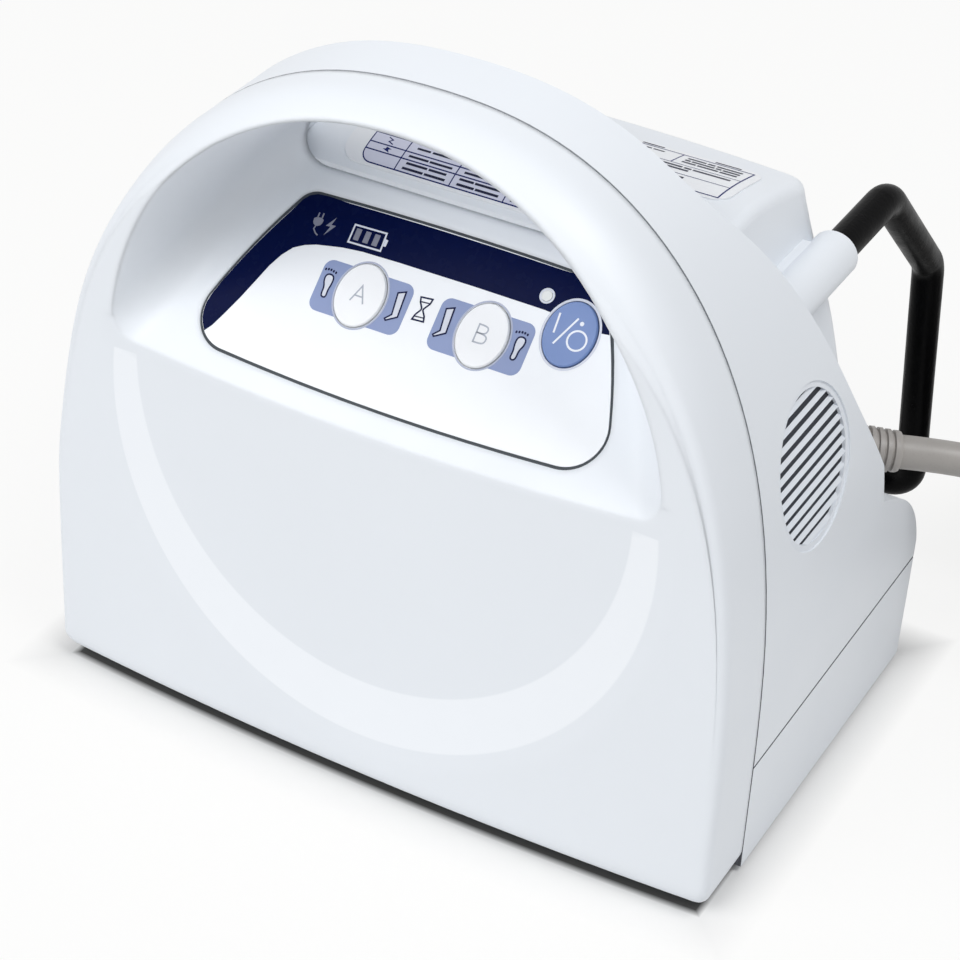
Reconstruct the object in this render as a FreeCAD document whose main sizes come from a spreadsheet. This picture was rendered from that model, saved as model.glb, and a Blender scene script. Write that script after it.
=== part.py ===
import FreeCAD, Part

import math
import os

from FreeCAD import Placement, Rotation, Vector

# Compression therapy pump: a moulded housing with an arched carrying handle,
# a sloped key panel, side vents and a sliding wire hook for a bed rail.
# The front faces -Y, +X is the right-hand side and +Z is up.
# The origin is on the ground under the middle of the pump and its stored hook.

doc = FreeCAD.newDocument("CompressionPump")

# ---------------------------------------------------------------- sizes (mm, degrees)

SIZES = {
    # housing walls and fits
    "wall": 2.6,
    "fit_gap": 0.3,
    "foot_height": 2.0,
    "foot_radius": 8.0,
    "foot_side_inset": 22.0,
    "foot_end_inset": 12.0,
    # D-shaped outline of the housing, seen from the front
    "body_half_width": 98.4,
    "body_top": 183.7,
    "widest_height": 24.75,
    "outline_rise": 2.82,
    "outline_width": 2.33,
    # front cover
    "front_corner": -89.3,
    "front_bulge": 3.6,
    "bulge_half_width": 96.0,
    "lean_angle": 5.5,
    "side_round": 2.4,
    "least_round": 0.5,
    "foot_round": 6.0,
    "crown_round": 17.0,
    "seam_depth": 20.0,
    # hand scoop, panel deck and carrying handle
    "crease_height": 103.435,
    "deck_angle": 41.6,
    "scoop_half_width": 79.0,
    "scoop_top": 181.5,
    "scoop_rise": 1.9,
    "scoop_width": 2.25,
    "scoop_corner": 9.0,
    "arch_rear": -34.3,
    "opening_half_width": 51.0,
    "opening_height": 27.0,
    # side walls of the rear housing, seen from the side
    "arch_foot_height": 172.0,
    "shoulder_depth": 6.4,
    "shoulder_height": 153.6,
    "flank_depth": 27.2,
    "flank_height": 103.2,
    "heel_depth": 40.2,
    "heel_height": 77.8,
    "heel_step": 11.0,
    "toe_depth": 66.0,
    "toe_height": 38.0,
    "rear_foot_depth": 61.6,
    "base_height": 33.0,
    # inset rear body with the label deck
    "rear_side_inset": 33.9,
    "rear_taper": 13.0,
    "crest_depth": 18.0,
    "crest_height": 152.0,
    "deck_front_drop": 6.2,
    "deck_middle_depth": 44.8,
    "deck_middle_drop": 4.8,
    "deck_rear_depth": 57.0,
    "deck_rear_drop": 7.9,
    "back_shoulder_depth": 59.0,
    "back_shoulder_drop": 23.0,
    "back_hip_depth": 62.3,
    "back_hip_drop": 39.4,
    "back_depth": 64.0,
    "back_height": 85.0,
    "back_bulge": 6.0,
    "rear_corner": 8.0,
    "rear_edge": 3.0,
    # fine grooves where the mouldings meet
    "seam_gap": 0.5,
    "seam_gap_depth": 0.7,
    # sunk disc on the front, with a sloped band around it
    "disc_radius": 70.1,
    "disc_height": 104.0,
    "band_radius": 81.4,
    "band_height": 95.0,
    "disc_sink": 1.1,
    # side vents
    "vent_depth": -31.5,
    "vent_height": 99.2,
    "vent_half_length": 19.0,
    "vent_half_height": 20.7,
    "vent_rim": 1.6,
    "vent_inset": 0.5,
    "slat_count": 12,
    "slat_depth": 4.2,
    "slat_thickness": 1.5,
    "slat_tilt": 30.0,
    # bed hook and its barrels
    "hook_radius": 4.4,
    "hook_side_inset": 8.904,
    "hook_height": 129.7,
    "hook_inner_end": -50.3,
    "hook_bend_depth": 44.0,
    "hook_leg_depth": 81.1,
    "hook_leg_height": 90.7,
    "hook_foot_depth": 87.9,
    "hook_foot_height": 11.0,
    "hook_bend_radius": 10.0,
    "hook_foot_radius": 7.5,
    "hook_collar": 7.0,
    "hook_collar_length": 4.0,
    "hook_travel": 20.0,
    "hook_clearance": 0.3,
    "barrel_radius": 6.2,
    "barrel_end": 12.7,
    # key panel, along (u) and up (v) the deck from the crease
    "panel_low": 8.6,
    "panel_high": 55.1,
    "panel_foot_half_width": 59.0,
    "panel_top_half_width": 41.0,
    "panel_foot_bow": 2.5,
    "panel_side_bow": 2.0,
    "panel_top_bow": 0.8,
    "panel_thickness": 1.0,
    "panel_gasket": 0.8,
    "panel_ledge": 3.0,
    "button_spread": 17.15,
    "button_row": 33.6,
    "button_half_width": 6.6,
    "button_half_height": 8.1,
    "button_rise": 0.6,
    "button_edge": 0.3,
    "button_travel": 0.8,
    "button_flange": 1.0,
    "button_flange_thickness": 0.6,
    "stem_radius": 2.0,
    "carrier_thickness": 2.0,
    "panel_corner": 5.0,
    "panel_foot_corner": 9.5,
    "power_offset": 37.9,
    "power_row": 40.4,
    "lamp_offset": 28.6,
    "lamp_row": 47.5,
    "lamp_radius": 1.4,
    "switch_height": 3.0,
    "board_thickness": 1.6,
    "board_depth": 10.0,
    "display_half_width": 44.0,
    "display_low": 21.6,
    "display_high": 55.6,
    # label plates on the deck, under the handle and behind it
    "label_half_width": 38.0,
    "label_thickness": 0.4,
    "label_corner": 5.0,
    "label_start": -1.0,
    "label_end": 16.5,
    "rear_label_half_width": 57.5,
    "rear_label_start": 19.5,
    "rear_label_end": 43.0,
    # mains lead
    "cord_radius": 4.5,
    "relief_radius": 6.5,
    "relief_tip_radius": 5.4,
    "relief_length": 22.0,
    "gland_x": 82.0,
    "gland_y": 14.3,
    "gland_z": 73.3,
    "gland_swing": 31.0,
    "gland_dip": 7.0,
    "coil_radius": 45.0,
    "coil_half_width": 13.5,
    "coil_height": 27.0,
    "coil_x": 156.0,
    "coil_y": 106.0,
    "coil_edge": 3.5,
    "plug_width": 30.0,
    "plug_length": 40.0,
    "plug_height": 26.0,
    "blade_length": 16.0,
    "blade_pitch": 12.7,
    "blade_thickness": 1.5,
    "blade_half_width": 3.2,
    "earth_pin_radius": 2.4,
    # air tube ports
    "port_setback": 3.4,
    "port_spread": 30.0,
    "port_height": 68.0,
    "port_half_width": 17.0,
    "port_half_height": 8.0,
    "nipple_radius": 2.4,
    "nipple_bore": 1.3,
    "nipple_pitch": 9.5,
    "nipple_length": 11.0,
    "manifold_thickness": 16.0,
    "coil_can_radius": 7.0,
    "coil_can_length": 18.0,
    # battery and its door
    "battery_length": 82.0,
    "battery_depth": 50.0,
    "battery_height": 28.0,
    "battery_x": -44.0,
    "battery_y": -23.3,
    "battery_gap": 1.0,
    "door_ledge": 3.0,
    # compressor
    "pump_x": 44.0,
    "pump_y": -32.3,
    "pump_axis": 40.0,
    "motor_radius": 16.0,
    "motor_length": 34.0,
    "block_length": 26.0,
    "block_depth": 38.0,
    "block_height": 46.0,
    "head_height": 13.0,
    "shaft_radius": 2.0,
    "shaft_clearance": 0.05,
    "crank_radius": 6.0,
    "crank_offset": -2.0,
    "crank_width": 5.0,
    "chamber_radius": 10.0,
    "chamber_width": 10.0,
    "bracket_thickness": 3.0,
    "mount_radius": 5.0,
    "mount_height": 5.0,
    # power supply and main board
    "supply_length": 72.0,
    "supply_depth": 24.0,
    "supply_height": 34.0,
    "supply_x": 46.0,
    "supply_y": 5.7,
    "main_board_half_width": 60.0,
    "main_board_height": 62.0,
    "main_board_low": 24.0,
    "main_board_gap": 9.0,
    "post_radius": 3.2,
    "buzzer_radius": 8.0,
    "buzzer_height": 6.0,
}

sheet = doc.addObject("Spreadsheet::Sheet", "Sizes")
for row, (name, value) in enumerate(SIZES.items(), start=1):
    sheet.set("A%d" % row, name)
    sheet.set("B%d" % row, str(value))
    sheet.setAlias("B%d" % row, name)
doc.recompute()


def size(name):
    return float(sheet.get(name))


# ---------------------------------------------------------------- shared geometry

X_AXIS = Vector(1, 0, 0)
Y_AXIS = Vector(0, 1, 0)
Z_AXIS = Vector(0, 0, 1)
FAR = 400.0
SPLINE_STEPS = 7
DISC_STEPS = 24

LEAN = math.tan(math.radians(size("lean_angle")))
GROUND = size("foot_height")
WALL = size("wall")
DECK_SLOPE = math.tan(math.radians(size("deck_angle")))
DECK_COS = math.cos(math.radians(size("deck_angle")))
DECK_SIN = math.sin(math.radians(size("deck_angle")))
RIM_Y = size("arch_rear") - WALL
CREASE_Y = size("front_corner") - size("front_bulge") + LEAN * (size("crease_height") - GROUND)
RIM_Z = size("crease_height") + DECK_SLOPE * (RIM_Y - CREASE_Y)
OPENING_TOP = RIM_Z + size("opening_height")


def body_half_width(height):
    """Half width of the D outline at a height."""
    low = size("widest_height")
    rise = max(0.0, (height - low) / (size("body_top") - low))
    return size("body_half_width") * (1 - rise ** size("outline_rise")) ** (1 / size("outline_width"))


def hook_x():
    """Distance of the hook's arms from the middle: a fixed inset from the outline beside them."""
    return body_half_width(size("hook_height")) - size("hook_side_inset")


def arch_half(half_width, low, top, rise_power, width_power):
    """Right half of a superellipse arch, from its foot to its crown, as (x, z) pairs."""
    pairs = []
    for step in range(SPLINE_STEPS + 1):
        angle = math.pi / 2 * step / SPLINE_STEPS
        x = half_width * abs(math.cos(angle)) ** (2 / width_power)
        z = low + (top - low) * math.sin(angle) ** (2 / rise_power)
        pairs.append((x, z))
    pairs[-1] = (0.0, top)
    return pairs


def arch_wire(pairs, place, foot=None):
    """Closed wire through an arch and its mirror image; place(x, z) gives each point in space."""
    right = [place(x, z) for x, z in pairs]
    left = [place(-x, z) for x, z in reversed(pairs[:-1])]
    up = (place(pairs[0][0], pairs[0][1] + 1.0) - right[0]).normalize()
    curve = Part.BSplineCurve()
    curve.interpolate(Points=right + left, InitialTangent=up, FinalTangent=up.negative())
    corners = [left[-1], right[0]]
    if foot is not None:
        width = pairs[0][0]
        corners = [left[-1], place(-width, foot), place(width, foot), right[0]]
    lines = [Part.LineSegment(a, b).toShape() for a, b in zip(corners, corners[1:])]
    return Part.Wire([curve.toShape()] + lines)


def leaning(depth):
    """Places outline points on a plane that leans back with the front of the housing."""
    return lambda x, z: Vector(x, depth + LEAN * (z - GROUND), z)


def body_wire(inset, depth, narrow=0.0, lower=0.0, low=None):
    """D outline of the housing, moved in by an inset, on a leaning plane."""
    pairs = arch_half(size("body_half_width") - inset - narrow, size("widest_height"),
                      size("body_top") - inset - lower, size("outline_rise"), size("outline_width"))
    return arch_wire(pairs, leaning(depth), GROUND + inset if low is None else low)


def body_prism(inset, low=None):
    """The D outline carried straight back, from before the front to behind the housing."""
    wire = body_wire(inset, -FAR / 2, low=low)
    return Part.Face(wire).extrude(Y_AXIS * FAR)


def side_prism(edges):
    """A closed profile in the YZ plane, carried right across the housing."""
    face = Part.Face(Part.Wire(edges))
    face.translate(X_AXIS * (-FAR / 2))
    return face.extrude(X_AXIS * FAR)


def path(points):
    """Straight edges through a list of (y, z) pairs."""
    corners = [Vector(0, y, z) for y, z in points]
    return [Part.LineSegment(a, b).toShape() for a, b in zip(corners, corners[1:])]


def curve_edge(points, start=None, end=None):
    """One spline edge through (y, z) pairs with given end directions."""
    curve = Part.BSplineCurve()
    options = {"Points": [Vector(0, y, z) for y, z in points]}
    if start is not None:
        options["InitialTangent"] = Vector(0, *start)
        options["FinalTangent"] = Vector(0, *end)
    curve.interpolate(**options)
    return curve.toShape()


def box(x0, x1, y0, y1, z0, z1):
    return Part.makeBox(x1 - x0, y1 - y0, z1 - z0, Vector(x0, y0, z0))


def ellipse_prism(center, half_length, half_height, x0, x1):
    """Upright ellipse in the YZ plane, carried from x0 to x1."""
    major, minor = max(half_length, half_height), min(half_length, half_height)
    ellipse = Part.Ellipse(Vector(0, 0, 0), major, minor)
    face = Part.Face(Part.Wire(ellipse.toShape()))
    turn = Rotation(Y_AXIS, Z_AXIS, X_AXIS, "XYZ") if half_length >= half_height else \
        Rotation(Z_AXIS, Y_AXIS.negative(), X_AXIS, "XYZ")
    face.Placement = Placement(Vector(x0, center[0], center[1]), turn)
    return face.extrude(X_AXIS * (x1 - x0))


# ---------------------------------------------------------------- outer forms of the housing

def front_surface_arc(inset):
    """Plan arc of the bulged front, moved back by an inset, at the ground plane."""
    half = size("bulge_half_width")
    bulge = size("front_bulge")
    radius = (half ** 2 + bulge ** 2) / (2 * bulge)
    center = Vector(0, size("front_corner") - bulge + radius, 0)
    reach = math.asin(min(0.9, 1.2 * size("body_half_width") / radius))
    ends = [center + Vector(radius * math.sin(a), -radius * math.cos(a), 0) for a in (-reach, 0, reach)]
    arc = Part.Arc(*ends).toShape()
    arc.translate(Y_AXIS * inset)
    return arc


def behind_front(inset):
    """Everything behind the bulged front, moved back by an inset."""
    arc = front_surface_arc(inset)
    first, last = arc.Vertexes[0].Point, arc.Vertexes[-1].Point
    rear_left, rear_right = Vector(first.x, FAR, 0), Vector(last.x, FAR, 0)
    lines = [Part.LineSegment(last, rear_right), Part.LineSegment(rear_right, rear_left),
             Part.LineSegment(rear_left, first)]
    face = Part.Face(Part.Wire([arc] + [line.toShape() for line in lines]))
    face.translate(Vector(0, -LEAN * GROUND, 0))
    return face.extrude(Vector(0, LEAN * FAR, FAR))


def front_form(inset):
    """Rounded solid of the front cover up to the seam, moved in by an inset."""
    nose = size("front_corner") - size("front_bulge") + inset
    crown = size("crown_round") - inset
    side = size("side_round") - inset
    if side < size("least_round"):
        side = 0.0
    corner = size("front_corner") + inset
    seam = size("front_corner") + size("seam_depth")
    corner_angle = math.acos(1 - (corner - nose) / crown)

    def drop(depth):
        reach = min(depth - nose, crown)
        return crown - math.sqrt(crown ** 2 - (crown - reach) ** 2)

    def section(depth, narrow=0.0):
        return body_wire(inset, depth, narrow, drop(depth))

    def steps(count):
        return [step / count for step in range(count + 1)]

    nose_depths = [nose + crown * (1 - math.cos(corner_angle * share)) for share in steps(3)]
    flat = min(nose + crown, seam)
    back_depths = [corner + side + (flat - corner - side) * share for share in steps(3)]
    if flat < seam:
        back_depths.append(seam)
    form = Part.makeLoft([section(depth, side) for depth in nose_depths], True)
    form = form.fuse(Part.makeLoft([section(depth) for depth in back_depths], True))
    if side > 0:
        turns = [math.pi / 2 * share for share in steps(3)]
        edge = [section(corner + side * (1 - math.cos(turn)), side * (1 - math.sin(turn))) for turn in turns]
        form = form.fuse(Part.makeLoft(edge, True))
    return form.common(behind_front(inset))


def rounded_foot(form):
    """The front cover's form with its lower front edge rounded."""
    low = [e for e in form.Edges if e.BoundBox.ZMax < GROUND + 0.01 and e.BoundBox.XLength > 1]
    front = [e for e in low if not form.isInside(e.CenterOfMass - Y_AXIS, 0.01, True)]
    return form.makeFillet(size("foot_round"), front)


def front_point(x, z, depth):
    """Point on the bulged front, moved back by a depth."""
    half, bulge = size("bulge_half_width"), size("front_bulge")
    radius = (half ** 2 + bulge ** 2) / (2 * bulge)
    back = radius - math.sqrt(radius ** 2 - x ** 2)
    return Vector(x, size("front_corner") - bulge + back + LEAN * (z - GROUND) + depth, z)


def disc_loop(share):
    """Closed curve on the way from the band's outer circle (0) to the sunk disc's rim (1)."""
    points = []
    for step in range(DISC_STEPS):
        angle = 2 * math.pi * step / DISC_STEPS
        radius = size("band_radius") + share * (size("disc_radius") - size("band_radius"))
        height = size("band_height") + share * (size("disc_height") - size("band_height"))
        points.append(front_point(radius * math.cos(angle), height + radius * math.sin(angle),
                                  share * size("disc_sink")))
    curve = Part.BSplineCurve()
    curve.interpolate(Points=points, PeriodicFlag=True)
    return curve.toShape()


def disc_form():
    """Room taken by the sunk disc and the sloped band around it."""
    over = 0.3
    band = Part.makeRuledSurface(disc_loop(-over), disc_loop(1 + over))
    ahead = size("disc_sink") * over / 2
    slab = behind_front(-ahead).cut(behind_front(size("disc_sink")))
    way = Part.makeCylinder(size("band_radius") * 1.1, FAR, Vector(0, -FAR / 2, size("band_height")), Y_AXIS)
    pieces = slab.common(way).generalFuse([band])[0].Solids
    middle = front_point(0, size("disc_height"), size("disc_sink") / 2)
    sunk = [piece for piece in pieces if piece.isInside(middle, 0.01, True)][0]
    top = size("crease_height") + size("scoop_corner")
    return sunk.common(box(-FAR, FAR, -FAR, FAR, 0, top))


def scoop_form(grow):
    """Hand scoop: from the arch in the front, narrowing along the deck to the opening under the handle."""
    drop = grow / DECK_COS
    front = arch_half(size("scoop_half_width") + grow, size("crease_height") - drop,
                      size("scoop_top") + grow, size("scoop_rise"), size("scoop_width"))
    rear = arch_half(size("opening_half_width") + grow, RIM_Z - drop, OPENING_TOP + grow,
                     size("scoop_rise"), size("scoop_width"))
    place = leaning(CREASE_Y - LEAN * (size("crease_height") - GROUND))
    front_points = [place(x, z) for x, z in front]
    rear_points = [Vector(x, RIM_Y, z) for x, z in rear]
    ahead = 0.5
    outer = [f + (f - r) * ahead for f, r in zip(front_points, rear_points)]

    def ring(points):
        mirrored = [Vector(-p.x, p.y, p.z) for p in reversed(points[:-1])]
        curve = Part.BSplineCurve()
        curve.interpolate(Points=points + mirrored)
        foot = Part.LineSegment(mirrored[-1], points[0])
        return Part.Wire([curve.toShape(), foot.toShape()])

    loft = Part.makeLoft([ring(outer), ring(rear_points)], True, True)
    corner = size("scoop_corner") + grow
    runs = [e for e in loft.Edges if abs(e.Vertexes[0].Point.x - e.Vertexes[-1].Point.x) > 5
            and abs(e.Vertexes[0].Point.y - e.Vertexes[-1].Point.y) > 5]
    return loft.makeFillet(corner, runs)


def side_profile(inset):
    """Side walls of the rear housing, seen from the side, from the seam to their swept rear edge."""
    seam = size("front_corner") + size("seam_depth")
    low = GROUND + inset
    rear = size("arch_rear") - inset
    arch_foot = (rear, size("arch_foot_height") - inset)
    shoulder = (rear + size("shoulder_depth"), size("shoulder_height") - inset)
    flank = (rear + size("flank_depth"), size("flank_height") - inset)
    heel = (rear + size("heel_depth"), size("heel_height") - inset)
    step = (heel[0], heel[1] - size("heel_step"))
    toe = (rear + size("toe_depth"), size("toe_height") - inset)
    foot = (rear + size("rear_foot_depth"), low)
    above = size("body_top") + 2 * WALL
    edges = path([foot, (seam + LEAN * (low - GROUND), low), (seam + LEAN * (above - GROUND), above),
                  (rear, above), arch_foot])
    edges.append(curve_edge([arch_foot, shoulder, flank, heel], (0, -1), (0.45, -0.9)))
    edges += path([heel, step])
    edges.append(curve_edge([step, toe], (1.0, -0.45), (0.15, -1.0)))
    edges += path([toe, foot])
    return side_prism(edges)


def rear_half_width():
    return size("body_half_width") - size("rear_side_inset")


def deck_curve(lift=0.0):
    """Side view of the label deck: (y, z) pairs from the handle opening over the crest to the rear edge."""
    crest = size("crest_height") + lift
    start = size("arch_rear")
    return [(RIM_Y, crest - size("deck_front_drop")), (start + size("crest_depth"), crest),
            (start + size("deck_middle_depth"), crest - size("deck_middle_drop")),
            (start + size("deck_rear_depth"), crest - size("deck_rear_drop"))]


def below_deck(lift):
    """Everything below the label deck or its inner face, right across the housing."""
    points = deck_curve(lift)
    last, before = points[-1], points[-2]
    slope = (last[1] - before[1]) / (last[0] - before[0])
    end = (FAR / 2, last[1] + slope * (FAR / 2 - last[0]))
    edges = [curve_edge(points)]
    edges += path([last, end, (end[0], 0), (RIM_Y, 0), points[0]])
    return side_prism(edges)


def ahead_of_back(inset):
    """Everything ahead of the rear body's back, which bulges in plan and slopes in above its hip."""
    half, bulge = rear_half_width(), size("back_bulge")
    radius = (half ** 2 + bulge ** 2) / (2 * bulge)
    reach = FAR / 3
    fall = radius - math.sqrt(radius ** 2 - reach ** 2)

    def wire(height, depth):
        rear = size("arch_rear") + depth - inset
        side_depth = rear - fall
        ends = [Vector(-reach, side_depth, height), Vector(0, rear, height), Vector(reach, side_depth, height)]
        front = [Vector(reach, RIM_Y - fall, height), Vector(-reach, RIM_Y - fall, height)]
        lines = [(ends[2], front[0]), (front[0], front[1]), (front[1], ends[0])]
        return Part.Wire([Part.Arc(*ends).toShape()] + [Part.LineSegment(a, b).toShape() for a, b in lines])

    shoulder = size("crest_height") - size("back_shoulder_drop")
    hip = size("crest_height") - size("back_hip_drop")
    top = size("crest_height") - size("deck_rear_drop")
    waist = (size("back_height") + hip) / 2
    levels = [(size("back_height"), size("back_depth")), (waist, size("back_depth") - 0.4),
              (hip, size("back_hip_depth")), (shoulder, size("back_shoulder_depth")),
              (top, size("deck_rear_depth")), (top + 4 * WALL, size("deck_rear_depth") - 1)]
    upper = Part.makeLoft([wire(height, depth) for height, depth in levels], True)
    base = Part.Face(wire(0.0, size("back_depth"))).extrude(Z_AXIS * size("back_height"))
    return upper.fuse(base)


def rear_body(inset):
    """Inset rear body: label deck on top, bulged and sloped back, sides that spread towards the base."""
    half_top = rear_half_width() - inset
    slope = math.tan(math.radians(size("rear_taper")))
    low = GROUND + inset
    high = size("crest_height") + WALL

    def corner(side, height):
        return Vector(side * (half_top + slope * (size("crest_height") - height)), 0, height)

    outline = [corner(1, low), corner(1, high), corner(-1, high), corner(-1, low), corner(1, low)]
    across = Part.Face(Part.makePolygon(outline)).extrude(Y_AXIS * FAR)
    across.translate(Y_AXIS * (-FAR / 2))
    body = across.common(below_deck(-inset)).common(ahead_of_back(inset))
    body = body.common(box(-FAR, FAR, RIM_Y, FAR, 0, FAR))
    rear = RIM_Y + size("crest_depth")
    upright = [e for e in body.Edges if e.BoundBox.ZLength > 10 and e.CenterOfMass.y > rear
               and abs(e.CenterOfMass.x) > half_top - 2]
    body = body.makeFillet(size("rear_corner") - inset, upright)
    edge = size("rear_edge") - inset
    if edge > 1:
        rim = [e for e in body.Edges if e.CenterOfMass.z > size("crest_height") - 3 * size("deck_rear_drop") / 2
               and e.CenterOfMass.y > RIM_Y + 1 and e.BoundBox.ZLength < 10]
        body = body.makeFillet(edge, rim)
    return body.common(body_prism(inset))


def opening_form(grow, back):
    """The way under the handle, carried straight back from the rim of the scoop."""
    pairs = arch_half(size("opening_half_width") + grow, RIM_Z - grow, OPENING_TOP + grow,
                      size("scoop_rise"), size("scoop_width"))
    wire = arch_wire(pairs, lambda x, z: Vector(x, RIM_Y, z))
    return Part.Face(wire).extrude(Y_AXIS * (back - RIM_Y))


def deck_place(u=0.0, v=0.0, lift=0.0):
    """Placement on the panel deck: u across, v up the slope from the crease, lift along its normal."""
    turn = Rotation(X_AXIS, Vector(0, DECK_COS, DECK_SIN), Vector(0, -DECK_SIN, DECK_COS), "XYZ")
    origin = Vector(0, CREASE_Y, size("crease_height"))
    return Placement(origin + turn.multVec(Vector(u, v, lift)), turn)


def on_deck(shape, lift=0.0):
    shape.Placement = deck_place(lift=lift).multiply(shape.Placement)
    return shape


def panel_solid(grow, low, high):
    """Key panel outline with bowed sides and round corners, between two lifts over the deck."""
    foot_half = size("panel_foot_half_width") + grow
    top_half = size("panel_top_half_width") + grow
    foot_v = size("panel_low") + size("panel_foot_bow") - grow
    top_v = size("panel_high") - size("panel_top_bow") + grow
    middle_v = (foot_v + top_v) / 2
    middle_half = (foot_half + top_half) / 2 + size("panel_side_bow")
    arcs = [
        ((-foot_half, foot_v), (0, size("panel_low") - grow), (foot_half, foot_v)),
        ((foot_half, foot_v), (middle_half, middle_v), (top_half, top_v)),
        ((top_half, top_v), (0, size("panel_high") + grow), (-top_half, top_v)),
        ((-top_half, top_v), (-middle_half, middle_v), (-foot_half, foot_v)),
    ]
    edges = [Part.Arc(*[Vector(u, v, low) for u, v in arc]).toShape() for arc in arcs]
    solid = Part.Face(Part.Wire(edges)).extrude(Z_AXIS * (high - low))
    corners = [e for e in solid.Edges if abs(e.Vertexes[0].Z - e.Vertexes[-1].Z) > (high - low) / 2]
    foot = [e for e in corners if e.CenterOfMass.y < middle_v]
    top = [e for e in corners if e.CenterOfMass.y > middle_v]
    solid = solid.makeFillet(size("panel_foot_corner") + grow, foot)
    top = [e for e in solid.Edges if any(e.CenterOfMass.distanceToPoint(t.CenterOfMass) < 0.001 for t in top)]
    return solid.makeFillet(size("panel_corner") + grow, top)


def oval(u, v, half_width, half_height, low, high):
    """Upright oval column on the deck, between two lifts."""
    major, minor = max(half_width, half_height), min(half_width, half_height)
    face = Part.Face(Part.Wire(Part.Ellipse(Vector(0, 0, 0), major, minor).toShape()))
    angle = 0 if half_width >= half_height else 90
    face.Placement = Placement(Vector(u, v, low), Rotation(Z_AXIS, angle))
    return face.extrude(Z_AXIS * (high - low))


def column(x, y, radius, low, high):
    return Part.makeCylinder(radius, high - low, Vector(x, y, low))


BUTTONS = {
    "button_a": (-size("button_spread"), size("button_row")),
    "button_b": (size("button_spread"), size("button_row")),
    "power_button": (size("power_offset"), size("power_row")),
}

# ---------------------------------------------------------------- document helpers

parts = {}

# Points of the mains lead after it leaves its strain relief, down to the coil on the ground.
CORD_POINTS = [
    (107.97, 29.91, 69.58),
    (126.5, 37.5, 65.0),
    (144.0, 41.5, 53.5),
    (161.5, 42.7, 38.0),
    (182.8, 48.4, 21.5),
    (200.9, 61.1, 10.5),
    (212.9, 79.3, 5.6),
    (217.2, 101.0, 4.7),
    (212.6, 121.9, 4.7),
    (200.6, 139.0, 4.7),
]


def name_part(node, obj):
    obj.Label = node
    parts[node] = obj
    return obj


def feature(node, shape):
    """A sub-part whose shape is made with Part's own functions."""
    obj = doc.addObject("Part::Feature", node)
    obj.Shape = shape
    return name_part(node, obj)


def primitive(kind, node, **bindings):
    """A Part primitive whose sizes are bound to the sheet."""
    obj = doc.addObject(kind, node)
    for prop, expression in bindings.items():
        obj.setExpression(prop, expression)
    return name_part(node, obj)


def move_to(obj, x, y, z):
    """Binds a placement to the sheet."""
    for axis, expression in zip("xyz", (x, y, z)):
        obj.setExpression("Placement.Base." + axis, expression)
    return obj


def pad(node, geometry, length, place):
    """A PartDesign body with one padded sketch; the pad's length is bound to the sheet."""
    body = doc.addObject("PartDesign::Body", node)
    plane = [f for f in body.Origin.OriginFeatures if f.Role == "XY_Plane"][0]
    sketch = body.newObject("Sketcher::SketchObject", node + "_outline")
    sketch.AttachmentSupport = [(plane, "")]
    sketch.MapMode = "FlatFace"
    sketch.addGeometry(geometry, False)
    doc.recompute()
    solid = body.newObject("PartDesign::Pad", node + "_pad")
    solid.Profile = sketch
    solid.setExpression("Length", length)
    body.Placement = place
    doc.recompute()
    return name_part(node, body)


def rectangle(x0, x1, y0, y1):
    corners = [Vector(x0, y0, 0), Vector(x1, y0, 0), Vector(x1, y1, 0), Vector(x0, y1, 0)]
    return [Part.LineSegment(a, b) for a, b in zip(corners, corners[1:] + corners[:1])]


def rounded_wire(points, radii):
    """A path of straight runs joined by tangent arcs, one radius for each inner point."""
    edges = []
    start = points[0]
    for before, corner, after, radius in zip(points, points[1:], points[2:], radii):
        inward = (corner - before).normalize()
        outward = (after - corner).normalize()
        half_turn = inward.getAngle(outward) / 2
        reach = radius * math.tan(half_turn)
        first = corner - inward * reach
        last = corner + outward * reach
        center_way = (outward - inward).normalize()
        center = corner + center_way * (radius / math.cos(half_turn))
        middle = center - center_way * radius
        edges.append(Part.LineSegment(start, first).toShape())
        edges.append(Part.Arc(first, middle, last).toShape())
        start = last
    edges.append(Part.LineSegment(start, points[-1]).toShape())
    return Part.Wire(edges)


def rod(wire, radius):
    """A round rod along a path."""
    first = wire.Edges[0]
    start = wire.Vertexes[0].Point
    way = first.tangentAt(first.FirstParameter)
    ring = Part.Wire(Part.Circle(start, way, radius).toShape())
    return wire.makePipeShell([ring], True, False)


# ---------------------------------------------------------------- housing

def scoop_liner():
    """Wall of the hand scoop: inside the front cover ahead of the seam, inside the rear housing behind it."""
    grown = scoop_form(WALL)
    seam = size("front_corner") + size("seam_depth")
    behind_seam = side_prism(path([(seam, GROUND), (seam + LEAN * FAR, GROUND + FAR),
                                   (FAR, GROUND + FAR), (FAR, GROUND), (seam, GROUND)]))
    ahead = grown.common(front_form(0.0))
    behind = grown.common(behind_seam).common(body_prism(WALL + size("fit_gap")))
    return ahead.fuse(behind)


def display_window():
    """Window in the deck under the key panel: smaller by its ledge, but clear of the key flanges."""
    low = -3 * WALL
    window = panel_solid(-size("panel_ledge"), low, WALL)
    flange = size("button_flange") + size("fit_gap")
    for u, v in BUTTONS.values():
        window = window.fuse(oval(u, v, size("button_half_width") + flange,
                                  size("button_half_height") + flange, low, WALL))
    return on_deck(window)


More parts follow.
